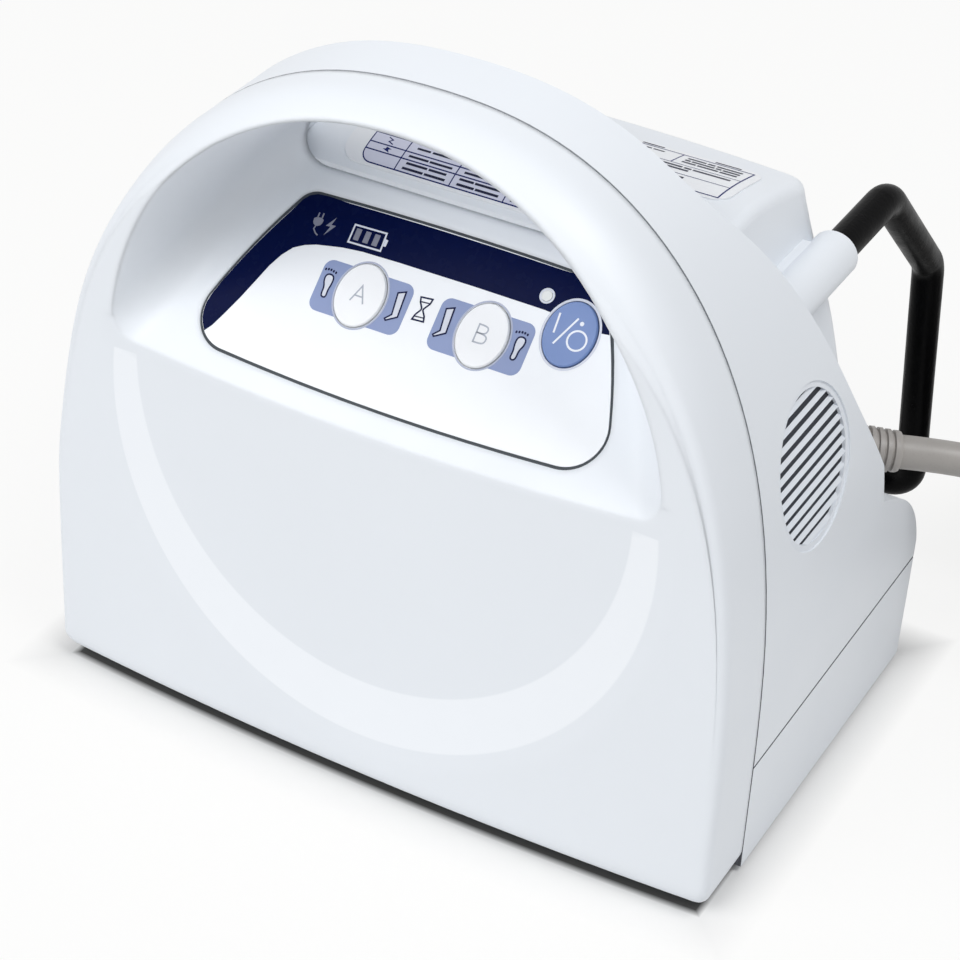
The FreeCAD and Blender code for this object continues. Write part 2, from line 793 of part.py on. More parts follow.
def front_posts():
    """Posts behind the front wall that carry the main board."""
    posts = []
    half = size("main_board_half_width") - 2 * size("post_radius")
    low = size("main_board_low") + 2 * size("post_radius")
    high = size("main_board_low") + size("main_board_height") - 2 * size("post_radius")
    back = size("front_corner") + size("main_board_gap")
    for x in (-half, half):
        for z in (low, high):
            end = Vector(x, back + LEAN * (z - GROUND), z)
            way = Vector(0, -1, LEAN).normalize()
            posts.append(Part.makeCylinder(size("post_radius"), FAR / 10, end, way))
    return Part.makeCompound(posts)


def make_front_cover():
    outer = rounded_foot(front_form(0.0)).fuse(scoop_liner())
    hollow = front_form(WALL).cut(scoop_form(WALL))
    cover = outer.cut(hollow).cut(disc_form()).cut(scoop_form(0.0))
    recess = on_deck(panel_solid(size("panel_gasket"), -size("panel_thickness"), WALL))
    cover = cover.cut(recess).cut(display_window())
    posts = front_posts().common(front_form(WALL / 2))
    return feature("front_cover", cover.fuse(posts))


def barrel(side, radius, start, end):
    place = Vector(side * hook_x(), start, size("hook_height"))
    return Part.makeCylinder(radius, end - start, place, Y_AXIS)


def barrel_start():
    return size("hook_inner_end") + size("hook_collar_length") + size("hook_travel") + size("hook_clearance")


def barrel_web(side):
    """Web that joins a barrel to the rear body beside it."""
    inner = rear_half_width() - WALL
    near, far = sorted((side * inner, side * hook_x()))
    half = size("barrel_radius") * 0.75
    height = size("hook_height")
    return box(near, far, barrel_start(), size("barrel_end") - 2 * WALL, height - half, height + half)


def gland_axis():
    swing, dip = math.radians(size("gland_swing")), math.radians(size("gland_dip"))
    return Vector(math.cos(dip) * math.cos(swing), math.cos(dip) * math.sin(swing), -math.sin(dip))


def gland_point(along):
    base = Vector(size("gland_x"), size("gland_y"), size("gland_z"))
    return base + gland_axis() * along


def port_window(side, grow):
    x = side * size("port_spread")
    half, tall = size("port_half_width") + grow, size("port_half_height") + grow
    height = size("port_height")
    return box(x - half, x + half, 0, FAR / 4, height - tall, height + tall)


def housing_form(inset):
    """Rear housing and base in one, moved in by an inset; with the wall as inset it is the room inside."""
    passage = opening_form(inset, FAR / 2).cut(below_deck(-inset))
    sides = body_prism(inset).common(side_profile(inset)).cut(passage)
    return sides.fuse(rear_body(inset))


def seam_groove():
    """Fine groove round the housing, just behind the seam between the front cover and the rest."""
    start = size("front_corner") + size("seam_depth")
    end = start + size("seam_gap")
    rise = LEAN * FAR
    slab = side_prism(path([(start, GROUND), (start + rise, GROUND + FAR), (end + rise, GROUND + FAR),
                            (end, GROUND), (start, GROUND)]))
    skin = body_prism(-1.0).cut(body_prism(size("seam_gap_depth")))
    return skin.common(slab)


def make_rear_housing(outer, void):
    above_base = box(-FAR, FAR, -FAR, FAR, size("base_height"), FAR)
    shell = outer.cut(void)
    vent_center = (size("vent_depth"), size("vent_height"))
    for side in (-1, 1):
        ends = sorted((side * hook_x(), side * FAR / 2))
        vent = ellipse_prism(vent_center, size("vent_half_length"), size("vent_half_height"), *ends)
        shell = shell.cut(vent)
        shell = shell.fuse(barrel(side, size("barrel_radius"), barrel_start(), size("barrel_end")))
        shell = shell.fuse(barrel_web(side))
        bore = size("hook_radius") + size("hook_clearance")
        shell = shell.cut(barrel(side, bore, barrel_start() - WALL, size("barrel_end") + WALL))
        shell = shell.cut(port_window(side, 0.0))
    boss = Part.makeCylinder(size("relief_radius") + WALL, 4 * WALL, gland_point(-3 * WALL), gland_axis())
    shell = shell.fuse(boss)
    bore = Part.makeCylinder(size("relief_radius"), 8 * WALL, gland_point(-5 * WALL), gland_axis())
    shell = shell.cut(bore)
    shell = shell.common(above_base)
    return feature("rear_housing", shell.cut(seam_groove()).removeSplitter())


def battery_opening(grow, low, high):
    half_x = size("battery_length") / 2 + size("battery_gap") + grow
    half_y = size("battery_depth") / 2 + size("battery_gap") + grow
    x, y = size("battery_x"), size("battery_y")
    return box(x - half_x, x + half_x, y - half_y, y + half_y, low, high)


def make_base_tray(outer, void):
    below = box(-FAR, FAR, -FAR, FAR, 0, size("base_height"))
    tray = outer.cut(void).common(below)
    tray = tray.cut(battery_opening(0.0, 0, size("base_height")))
    tray = tray.cut(battery_opening(size("door_ledge"), 0, GROUND + WALL / 2))
    rim = box(-FAR, FAR, -FAR, FAR, size("base_height") - size("seam_gap"), FAR)
    tray = tray.cut(rim.cut(housing_form(size("seam_gap_depth"))))
    return feature("base_tray", tray.cut(seam_groove()).removeSplitter())


def make_battery_door():
    gap = size("fit_gap")
    door = battery_opening(size("door_ledge") - gap, GROUND, GROUND + WALL / 2)
    return feature("battery_door", door)


def make_feet():
    depths = {"front": "Sizes.front_corner + Sizes.seam_depth + Sizes.foot_end_inset",
              "rear": "Sizes.arch_rear + Sizes.rear_foot_depth - Sizes.foot_end_inset"}
    for end, depth in depths.items():
        for side, sign in (("left", "-1"), ("right", "1")):
            foot = primitive("Part::Cylinder", "foot_%s_%s" % (end, side),
                             Radius="Sizes.foot_radius", Height="Sizes.foot_height")
            move_to(foot, sign + " * (Sizes.body_half_width - Sizes.foot_side_inset)", depth, "0")


# ---------------------------------------------------------------- vents

def make_vent_grille(node, side):
    """Oval louvre: a rim that follows the side wall, with tilted slats across it."""
    center = (size("vent_depth"), size("vent_height"))
    half_length = size("vent_half_length")
    half_height = size("vent_half_height")
    rim = size("vent_rim")
    near = hook_x()
    skin = body_prism(size("vent_inset")).cut(body_prism(size("vent_inset") + size("slat_depth")))
    outer = ellipse_prism(center, half_length, half_height, near, FAR / 2)
    inner = ellipse_prism(center, half_length - rim, half_height - rim, near, FAR / 2)
    grille = outer.cut(inner).common(skin)
    count = int(size("slat_count"))
    pitch = 2 * (half_height - rim) / count
    slats = []
    for index in range(count):
        height = center[1] - half_height + rim + (index + 0.5) * pitch
        reach = body_half_width(height) - size("vent_inset") - size("slat_depth") / 2
        slat = Part.makeBox(size("slat_depth"), 2 * half_length, size("slat_thickness"))
        slat.translate(Vector(-size("slat_depth") / 2, -half_length, -size("slat_thickness") / 2))
        slat.Placement = Placement(Vector(reach, center[0], height),
                                   Rotation(Y_AXIS, size("slat_tilt"))).multiply(slat.Placement)
        slats.append(slat.common(outer))
    grille = grille.fuse(slats)
    if side < 0:
        grille = grille.mirror(Vector(0, 0, 0), X_AXIS)
    return feature(node, grille.removeSplitter())


# ---------------------------------------------------------------- key panel


def make_panel():
    thick = size("panel_thickness")
    overlay = panel_solid(0.0, -thick, 0.0)
    gap = size("fit_gap")
    for u, v in BUTTONS.values():
        overlay = overlay.cut(oval(u, v, size("button_half_width") + gap, size("button_half_height") + gap,
                                   -2 * thick, thick))
    lamp = column(size("lamp_offset"), size("lamp_row"), size("lamp_radius"), -2 * thick, thick)
    feature("panel_overlay", on_deck(overlay.cut(lamp)))
    ring = panel_solid(size("panel_gasket"), -thick, -gap).cut(panel_solid(0.0, -2 * thick, thick))
    feature("panel_gasket", on_deck(ring))


def make_carrier():
    """Plate under the deck that guides the key stems and carries the display board on spacers."""
    top = -WALL
    bottom = top - size("carrier_thickness")
    plate = panel_solid(0.0, bottom, top)
    stem = size("stem_radius") + size("fit_gap")
    for u, v in BUTTONS.values():
        plate = plate.cut(column(u, v, stem, 2 * bottom, 0))
    plate = plate.cut(column(size("lamp_offset"), size("lamp_row"), size("lamp_radius"), 2 * bottom, 0))
    post = size("post_radius")
    half = size("display_half_width") - 2 * post
    for u in (-half, half):
        for v in (size("display_low") + 2 * post, size("display_high") - 2 * post):
            plate = plate.fuse(column(u, v, post, -size("board_depth"), bottom))
    feature("panel_carrier", on_deck(plate))


def make_display_board():
    half = size("display_half_width")
    outline = rectangle(-half, half, size("display_low"), size("display_high"))
    place = deck_place(lift=-size("board_depth") - size("board_thickness"))
    pad("display_board", outline, "Sizes.board_thickness", place)
    for name, (u, v) in BUTTONS.items():
        switch = column(u, v, size("stem_radius") * 1.5, -size("board_depth"),
                        -size("board_depth") + size("switch_height"))
        feature(name.replace("button", "switch"), on_deck(switch))
    lamp = column(size("lamp_offset"), size("lamp_row"), size("lamp_radius") - 0.05, -size("board_depth"), 0.2)
    feature("status_lamp", on_deck(lamp))


def make_buttons():
    """Oval keys: a flange held under the overlay, a raised cap and a stem down to the switch."""
    thick = size("panel_thickness")
    flange_low = -thick - size("button_flange_thickness")
    stem_low = -size("board_depth") + size("switch_height") + size("button_travel") + 0.05
    for name, (u, v) in BUTTONS.items():
        half_width, half_height = size("button_half_width"), size("button_half_height")
        cap = oval(u, v, half_width, half_height, flange_low, size("button_rise"))
        top = [e for e in cap.Edges if e.CenterOfMass.z > size("button_rise") - 0.01]
        cap = cap.makeChamfer(size("button_edge"), top[:1])
        flange = oval(u, v, half_width + size("button_flange"), half_height + size("button_flange"),
                      flange_low, -thick - 0.02)
        stem = column(u, v, size("stem_radius"), stem_low, 0)
        feature(name, on_deck(cap.fuse([flange, stem]).removeSplitter()))


# ---------------------------------------------------------------- label plate

def make_label_plates():
    """Thin plates that follow the label deck, under the handle and behind it."""
    sheet_solid = below_deck(size("label_thickness")).cut(below_deck(0.0))
    start = size("arch_rear")
    plates = {
        "label_plate": (size("label_half_width"), size("label_start"), size("label_end")),
        "rear_label": (size("rear_label_half_width"), size("rear_label_start"), size("rear_label_end")),
    }
    for node, (half, front, back) in plates.items():
        window = box(-half, half, start + front, start + back, GROUND, FAR)
        corners = [e for e in window.Edges if e.BoundBox.ZLength > 10]
        window = window.makeFillet(size("label_corner"), corners)
        feature(node, sheet_solid.common(window))


# ---------------------------------------------------------------- bed hook

def make_bed_hook():
    x = hook_x()
    height = size("hook_height")
    right = [
        Vector(x, size("hook_inner_end"), height),
        Vector(x, size("hook_bend_depth"), height),
        Vector(x, size("hook_leg_depth"), size("hook_leg_height")),
        Vector(x, size("hook_foot_depth"), size("hook_foot_height")),
    ]
    left = [Vector(-p.x, p.y, p.z) for p in reversed(right)]
    bend, foot = size("hook_bend_radius"), size("hook_foot_radius")
    wire = rounded_wire(right + left, [bend, bend, foot, foot, bend, bend])
    hook = rod(wire, size("hook_radius"))
    for side in (-1, 1):
        start = Vector(side * x, size("hook_inner_end"), height)
        collar = Part.makeCylinder(size("hook_collar"), size("hook_collar_length"), start, Y_AXIS)
        hook = hook.fuse(collar.common(body_prism(WALL + size("fit_gap"))))
    feature("bed_hook", hook.removeSplitter())


# ---------------------------------------------------------------- mains lead

def make_cord():
    relief_start, relief_end = -3 * WALL, size("relief_length") - 3 * WALL
    cone = Part.makeCone(size("relief_radius"), size("relief_tip_radius"), size("relief_length"),
                         gland_point(relief_start), gland_axis())
    feature("strain_relief", cone)
    start = gland_point(relief_end)
    points = [start] + [Vector(*p) for p in CORD_POINTS]
    radii = []
    for before, corner, after in zip(points, points[1:], points[2:]):
        half_turn = (corner - before).getAngle(after - corner) / 2
        shorter = min((corner - before).Length, (after - corner).Length)
        radii.append(0.45 * shorter / math.tan(half_turn))
    print("cord bend radii:", ["%.0f" % radius for radius in radii])
    wire = rounded_wire(points, radii)
    cord = rod(wire, size("cord_radius"))
    section = math.pi * size("cord_radius") ** 2
    print("cord length %.0f, volume ratio %.4f" % (wire.Length, cord.Volume / (section * wire.Length)))
    feature("mains_cord", cord)


def make_coil():
    """Outer shape of the wound cord, lying on the ground."""
    half = size("coil_half_width")
    inner, outer = size("coil_radius") - half, size("coil_radius") + half
    height = size("coil_height")
    ring = Part.makeCylinder(outer, height).cut(Part.makeCylinder(inner, height))
    rims = [e for e in ring.Edges if e.BoundBox.ZLength < 1]
    ring = ring.makeChamfer(size("coil_edge"), rims)
    ring.translate(Vector(size("coil_x"), size("coil_y"), 0))
    feature("cord_coil", ring)


def make_plug():
    """Mains plug with two blades and an earth pin, lying on the coil."""
    width, depth, height = size("plug_width"), size("plug_length"), size("plug_height")
    x = size("coil_x") - size("coil_radius") + 1
    y = size("coil_y") - depth
    low = size("coil_height")
    body = box(x - width / 2, x + width / 2, y, y + depth, low, low + height)
    body = body.makeChamfer(height / 6, [e for e in body.Edges if e.BoundBox.YLength > 1])
    blade_length = size("blade_length")
    blade_low = low + height / 2 - size("blade_half_width") + 1.5
    for side in (-1, 1):
        center = x + side * size("blade_pitch") / 2
        half = size("blade_thickness") / 2
        blade = box(center - half, center + half, y - blade_length, y + 1,
                    blade_low, blade_low + 2 * size("blade_half_width"))
        body = body.fuse(blade)
    pin = Part.makeCylinder(size("earth_pin_radius"), blade_length + 4,
                            Vector(x, y - blade_length - 3, low + height / 2 - 7.5), Y_AXIS)
    feature("mains_plug", body.fuse(pin).removeSplitter())


# ---------------------------------------------------------------- air ports and valves

def make_air_ports():
    wall_face = size("arch_rear") + size("back_depth") - size("port_setback")
    height = size("port_height")
    for side, letter in ((-1, "b"), (1, "a")):
        x = side * size("port_spread")
        block = port_window(side, -0.05)
        block = block.common(box(-FAR, FAR, wall_face - WALL, wall_face, 0, FAR))
        for step in (-1, 0, 1):
            place = Vector(x + step * size("nipple_pitch"), wall_face - WALL / 2, height)
            length = size("nipple_length") + WALL / 2
            block = block.fuse(Part.makeCylinder(size("nipple_radius"), length, place, Y_AXIS))
            bore = Part.makeCylinder(size("nipple_bore"), FAR / 10, place - Y_AXIS * FAR / 20, Y_AXIS)
            block = block.cut(bore)
        feature("air_port_" + letter, block)
    rear = wall_face - WALL
    thick = size("manifold_thickness")
    half = size("port_spread") + size("port_half_width")
    tall = size("port_half_height") + 2
    manifold = box(-half, half, rear - thick, rear, height - tall, height + tall)
    feature("valve_manifold", manifold)
    for index in range(6):
        x = (index - 2.5) * 2 * half / 6
        place = Vector(x, rear - thick / 2, height + tall)
        can = Part.makeCylinder(size("coil_can_radius"), size("coil_can_length"), place, Z_AXIS)
        feature("valve_coil_%d" % (index + 1), can)


# ---------------------------------------------------------------- compressor, power and boards

def make_compressor():
    x, y, axis = size("pump_x"), size("pump_y"), size("pump_axis")
    floor = GROUND + WALL
    bracket_low = floor + size("mount_height")
    bracket_high = bracket_low + size("bracket_thickness")
    motor_end = x - size("motor_length") / 2 - size("block_length") / 2
    block_start = motor_end + size("motor_length")
    block_end = block_start + size("block_length")
    half_depth = size("block_depth") / 2
    bore = size("shaft_radius") + size("shaft_clearance")
    shaft_hole = Part.makeCylinder(bore, FAR / 4, Vector(motor_end - 1, y, axis), X_AXIS)

    bracket = box(motor_end, block_end, y - half_depth, y + half_depth, bracket_low, bracket_high)
    cradle = box(motor_end + 4, block_start - 4, y - half_depth / 2, y + half_depth / 2, bracket_high - 1, axis)
    can = Part.makeCylinder(size("motor_radius"), size("motor_length"), Vector(motor_end, y, axis), X_AXIS)
    feature("pump_bracket", bracket.fuse(cradle.cut(can)).removeSplitter())
    feature("motor_can", can.cut(shaft_hole))

    low = bracket_high
    high = low + size("block_height")
    block = box(block_start, block_end, y - half_depth, y + half_depth, low, high)
    chamber_start = block_end - WALL - size("chamber_width")
    chamber = Part.makeCylinder(size("chamber_radius"), size("chamber_width"),
                                Vector(chamber_start, y, axis), X_AXIS)
    block = block.cut(chamber).cut(shaft_hole.common(box(0, chamber_start + 1, -FAR, FAR, 0, FAR)))
    feature("pump_block", block)
    head = box(block_start, block_end, y - half_depth, y + half_depth, high, high + size("head_height"))
    feature("pump_head", head)

    shaft_start = motor_end - 3
    shaft = Part.makeCylinder(size("shaft_radius"), chamber_start + 2 - shaft_start,
                              Vector(shaft_start, y, axis), X_AXIS)
    crank = Part.makeCylinder(size("crank_radius"), size("crank_width"),
                              Vector(chamber_start + 2, y, axis + size("crank_offset")), X_AXIS)
    feature("motor_shaft", shaft.fuse(crank).removeSplitter())

    grommet_x = (motor_end + size("mount_radius"), block_end - size("mount_radius"))
    grommet_y = (y - half_depth + size("mount_radius"), y + half_depth - size("mount_radius"))
    for index, (gx, gy) in enumerate([(a, b) for a in grommet_x for b in grommet_y]):
        grommet = Part.makeCylinder(size("mount_radius"), size("mount_height"), Vector(gx, gy, floor))
        feature("pump_mount_%d" % (index + 1), grommet)


def make_power():
    battery = primitive("Part::Box", "battery_pack", Length="Sizes.battery_length",
                        Width="Sizes.battery_depth", Height="Sizes.battery_height")
    move_to(battery, "Sizes.battery_x - Sizes.battery_length / 2", "Sizes.battery_y - Sizes.battery_depth / 2",
            "Sizes.foot_height + Sizes.wall / 2")
    supply = primitive("Part::Box", "power_supply", Length="Sizes.supply_length",
                       Width="Sizes.supply_depth", Height="Sizes.supply_height")
    move_to(supply, "Sizes.supply_x - Sizes.supply_length / 2", "Sizes.supply_y - Sizes.supply_depth / 2",
            "Sizes.foot_height + Sizes.wall")


def make_main_board():
    half = size("main_board_half_width")
    low, high = size("main_board_low"), size("main_board_low") + size("main_board_height")
    cos_lean = math.cos(math.radians(size("lean_angle")))
    outline = rectangle(-half, half, 0, (high - low) / cos_lean)
    up = Vector(0, LEAN, 1).normalize()
    turn = Rotation(X_AXIS.negative(), up, Vector(0, 1, -LEAN).normalize(), "XYZ")
    back = size("front_corner") + size("main_board_gap") + LEAN * (low - GROUND)
    place = Placement(Vector(0, back, low), turn)
    pad("main_board", outline, "Sizes.board_thickness", place)
    face = place.multVec(Vector(0, (high - low) / 2, size("board_thickness")))
    way = turn.multVec(Z_AXIS)
    feature("buzzer", Part.makeCylinder(size("buzzer_radius"), size("buzzer_height"), face, way))


# ---------------------------------------------------------------- build, check and write

make_front_cover()
outer_shape, void_shape = housing_form(0.0), housing_form(WALL)
make_rear_housing(outer_shape, void_shape)
make_base_tray(outer_shape, void_shape)
make_battery_door()
make_feet()
make_vent_grille("vent_grille_right", 1)
make_vent_grille("vent_grille_left", -1)
make_panel()
make_carrier()
make_display_board()
make_buttons()
make_label_plates()
make_bed_hook()
make_cord()
make_coil()
make_plug()
make_air_ports()
make_compressor()
make_power()
make_main_board()
doc.recompute()

for obj in doc.Objects:
    if "Invalid" in obj.State or "Error" in obj.State:
        raise RuntimeError("%s did not compute: %s" % (obj.Label, obj.State))

os.makedirs("parts", exist_ok=True)
for node, obj in parts.items():
    shape = obj.Shape
    if shape.isNull() or not shape.isValid() or not shape.Solids:
        raise RuntimeError("%s has no valid solid" % node)
    print("%-20s solids %d volume %.1f" % (node, len(shape.Solids), shape.Volume))
    shape.exportStep(os.path.join("parts", node + ".step"))
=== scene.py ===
import math

import bmesh
import bpy
from mathutils import Matrix, Vector
from mathutils.bvhtree import BVHTree


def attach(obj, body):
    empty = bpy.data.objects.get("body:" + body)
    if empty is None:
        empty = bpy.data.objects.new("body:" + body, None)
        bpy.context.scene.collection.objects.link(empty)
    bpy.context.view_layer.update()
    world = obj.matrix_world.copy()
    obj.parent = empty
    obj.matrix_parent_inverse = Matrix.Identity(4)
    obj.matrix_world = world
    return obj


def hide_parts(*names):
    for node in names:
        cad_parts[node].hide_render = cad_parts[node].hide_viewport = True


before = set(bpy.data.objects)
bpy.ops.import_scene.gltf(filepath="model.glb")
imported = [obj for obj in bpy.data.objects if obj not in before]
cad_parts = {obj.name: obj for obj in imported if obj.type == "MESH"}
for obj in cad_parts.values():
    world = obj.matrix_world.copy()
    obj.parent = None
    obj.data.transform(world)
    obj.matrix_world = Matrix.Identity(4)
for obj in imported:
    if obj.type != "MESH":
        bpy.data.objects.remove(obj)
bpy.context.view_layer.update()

# sizes are in millimetres, and times MM where they meet Blender; the camera, floor and lamps are in metres
MM = 0.001
scene = bpy.context.scene
scene.view_settings.view_transform = "Standard"

# ---------------------------------------------------------------- camera

CAMERA_PLACE = (0.277968, -0.492942, 0.458242)
CAMERA_TARGET = (0.00022, -0.0310, 0.060)
CAMERA_SENSOR, CAMERA_LENS, CAMERA_CLIP = 36.0, 96.395, 0.01

camera = bpy.data.objects.new("camera", bpy.data.cameras.new("camera"))
scene.collection.objects.link(camera)
scene.camera = camera
camera.location = CAMERA_PLACE
look = Vector(CAMERA_TARGET) - camera.location
camera.rotation_euler = look.to_track_quat("-Z", "Y").to_euler()
camera.data.sensor_width = CAMERA_SENSOR
camera.data.lens = CAMERA_LENS
camera.data.clip_start = CAMERA_CLIP

# ---------------------------------------------------------------- meshes


def mix(a, b, t):
    """The value that lies a share t of the way from a to b."""
    return a + (b - a) * t


def link_mesh(name, verts, faces, smooth=False):
    mesh = bpy.data.meshes.new(name)
    mesh.from_pydata([tuple(v) for v in verts], [], faces)
    mesh.update()
    if smooth:
        mesh.shade_smooth()
    obj = bpy.data.objects.new(name, mesh)
    scene.collection.objects.link(obj)
    return obj


def skin(rings, count, outward=True):
    """Faces through rings of count points and over both ends, turned over where outward is False."""
    faces = []
    for r in range(rings - 1):
        for k in range(count):
            n = (k + 1) % count
            a, b, c, d = r * count + k, r * count + n, (r + 1) * count + n, (r + 1) * count + k
            faces.append((a, b, c, d) if outward else (a, d, c, b))
    first, last = list(range(count)), list(range((rings - 1) * count, rings * count))
    (first if outward else last).reverse()
    return faces + [tuple(first), tuple(last)]


def lathe(name, rings, place, way, segments=48):
    """Turned piece: (along, radius) rings from place in the direction way."""
    turn = way.to_track_quat("Z", "Y").to_matrix()
    verts = []
    for along, radius in rings:
        for k in range(segments):
            a = 2 * math.pi * k / segments
            verts.append(place + turn @ Vector((radius * math.cos(a), radius * math.sin(a), along)) * MM)
    return link_mesh(name, verts, skin(len(rings), segments), smooth=True)


def loft_boxes(name, sections, place, count=16):
    """Rounded body through sections (along, half width, half height, squareness), 2 being an ellipse."""
    verts = []
    for along, half_w, half_h, power in sections:
        for k in range(count):
            a = 2 * math.pi * (k + 0.5) / count
            c, s = math.cos(a), math.sin(a)
            x = half_w * math.copysign(abs(c) ** (2 / power), c)
            z = half_h * math.copysign(abs(s) ** (2 / power), s)
            verts.append(place + Vector((-x, -along, z)) * MM)
    return link_mesh(name, verts, skin(len(sections), count, outward=False), smooth=True)


def crease(obj, angle=35.0):
    """Sharp edges where the faces turn by more than an angle."""
    bm = bmesh.new()
    bm.from_mesh(obj.data)
    for edge in bm.edges:
        edge.smooth = len(edge.link_faces) == 2 and edge.calc_face_angle(0.0) < math.radians(angle)
    bm.to_mesh(obj.data)
    bm.free()
    return obj


def subdivided(obj, levels=2):
    mod = obj.modifiers.new("smooth", "SUBSURF")
    mod.levels = mod.render_levels = levels
    obj.data.shade_smooth()
    return obj


def even_normals(obj, upward=False):
    """Turns the faces outwards or, where asked, upwards."""
    bm = bmesh.new()
    bm.from_mesh(obj.data)
    bmesh.ops.recalc_face_normals(bm, faces=bm.faces)
    if upward:
        for face in bm.faces:
            if face.normal.z < 0:
                face.normal_flip()
    bm.to_mesh(obj.data)
    bm.free()


# ---------------------------------------------------------------- shader nodes

MIX_FIRST, MIX_SECOND, MIX_RESULT = 6, 7, 2
DRIFT_BAND = (0.3, 0.7)
SPECK_SCALE, SPECK_REACH = 0.35, 0.35
RUB_SCALE, RUB_BAND = 6, (0.25, 0.75)


def nodes_of(name):
    mat = bpy.data.materials.new(name)
    mat.use_nodes = True
    tree = mat.node_tree
    return mat, tree, tree.nodes["Principled BSDF"]


def feed(tree, socket, value):
    """Links an input to another node's output, or sets it to a number or a colour."""
    if isinstance(value, bpy.types.NodeSocket):
        tree.links.new(value, socket)
    else:
        socket.default_value = value


def add(tree, kind, **inputs):
    """New node with its inputs fed by name, an underscore standing for a space."""
    node = tree.nodes.new(kind)
    for key, value in inputs.items():
        feed(tree, node.inputs[key.replace("_", " ")], value)
    return node


def own_place(tree):
    """The place on the surface in the object's own frame."""
    return tree.nodes.new("ShaderNodeTexCoord").outputs["Object"]


def split_place(tree):
    """The surface's own x, y and z."""
    split = add(tree, "ShaderNodeSeparateXYZ", Vector=own_place(tree))
    return split.outputs["X"], split.outputs["Y"], split.outputs["Z"]


def math_node(tree, operation, *values):
    """Result of a math node whose inputs are sockets or numbers."""
    node = tree.nodes.new("ShaderNodeMath")
    node.operation = operation
    for socket, value in zip(node.inputs, values):
        feed(tree, socket, value)
    return node.outputs["Value"]


def product(tree, *shares):
    out = shares[0]
    for share in shares[1:]:
        out = math_node(tree, "MULTIPLY", out, share)
    return out


def remap(tree, value, start, end, low, high):
    """Runs evenly from low to high while the value runs from start to end."""
    node = add(tree, "ShaderNodeMapRange", Value=value, From_Min=start, From_Max=end, To_Min=low, To_Max=high)
    return node.outputs["Result"]


def ramped(tree, value, start, end):
    """0 below start and 1 above end, in millimetres; the other way round where start is the larger."""
    rising = start < end
    low, high = sorted((start * MM, end * MM))
    return remap(tree, value, low, high, 0.0 if rising else 1.0, 1.0 if rising else 0.0)


def noise(tree, scale, detail, **inputs):
    node = add(tree, "ShaderNodeTexNoise", Vector=own_place(tree), Scale=scale, Detail=detail, **inputs)
    return node.outputs["Fac"]


def drifting(tree, value, low, high, start=0.0, end=1.0):
    """Colour that drifts from low to high while the value runs from start to end."""
    ramp = add(tree, "ShaderNodeValToRGB", Fac=value)
    for element, position, colour in zip(ramp.color_ramp.elements, (start, end), (low, high)):
        element.position = position
        element.color = (*colour, 1)
    return ramp.outputs["Color"]


def mixed_colour(tree, share, first, second, blend_type="MIX"):
    node = tree.nodes.new("ShaderNodeMix")
    node.data_type, node.blend_type = "RGBA", blend_type
    for key, value in (("Factor", share), (MIX_FIRST, first), (MIX_SECOND, second)):
        feed(tree, node.inputs[key], value)
    return node.outputs[MIX_RESULT]


def mixed_shader(tree, share, first, second):
    node = tree.nodes.new("ShaderNodeMixShader")
    for socket, value in zip(node.inputs, (share, first, second)):
        tree.links.new(value, socket)
    return node.outputs["Shader"]


def any_ray(tree):
    """1 where a camera, transmission or glossy ray sees the surface, 0 elsewhere."""
    rays = tree.nodes.new("ShaderNodeLightPath").outputs
    either = math_node(tree, "MAXIMUM", rays["Is Camera Ray"], rays["Is Transmission Ray"])
    return math_node(tree, "MAXIMUM", either, rays["Is Glossy Ray"])


def surface(name, colour, roughness, drift=0.03, drift_scale=18.0, grain=3500.0, grain_depth=0.02,
            rough_drift=0.06, metallic=0.0, coat=0.0, specular=0.5, speck=0.0):
    """Moulded or painted surface: slow colour drift, uneven gloss and a fine moulded grain."""
    mat, tree, shader = nodes_of(name)
    low = [c * (1 - drift) for c in colour]
    high = [min(1.0, c * (1 + drift)) for c in colour]
    base = drifting(tree, noise(tree, drift_scale, 3.0, Roughness=0.55), low, high, *DRIFT_BAND)
    if speck:
        dots = add(tree, "ShaderNodeTexVoronoi", Vector=own_place(tree), Scale=grain * SPECK_SCALE)
        spot = remap(tree, dots.outputs["Distance"], 0.0, SPECK_REACH, 1.0 - speck, 1.0)
        base = mixed_colour(tree, 1.0, base, spot, "MULTIPLY")
    rub = noise(tree, drift_scale * RUB_SCALE, 2.0)
    gloss = remap(tree, rub, *RUB_BAND, roughness - rough_drift, roughness + rough_drift)
    fine = noise(tree, grain, 2.0, Roughness=0.6)
    bump = add(tree, "ShaderNodeBump", Strength=0.6, Distance=grain_depth * MM, Height=fine)
    for key, value in (("Base Color", base), ("Roughness", gloss), ("Normal", bump.outputs["Normal"]),
                       ("Metallic", metallic), ("Coat Weight", coat), ("Specular IOR Level", specular)):
        feed(tree, shader.inputs[key], value)
    return mat


def painted(mat, share, colour):
    """The same surface with another colour where share is 1."""
    tree = mat.node_tree
    base = tree.nodes["Principled BSDF"].inputs["Base Color"]
    feed(tree, base, mixed_colour(tree, share, base.links[0].from_socket, (*colour, 1)))
    return mat


def softened(mat, radius):
    """Light rolls softly over the edges of the moulding."""
    tree = mat.node_tree
    soft = add(tree, "ShaderNodeBevel", Radius=radius * MM)
    soft.samples = 6
    bump = next(node for node in tree.nodes if node.bl_idname == "ShaderNodeBump")
    tree.links.new(soft.outputs["Normal"], bump.inputs["Normal"])
    return mat


# ---------------------------------------------------------------- mains lead

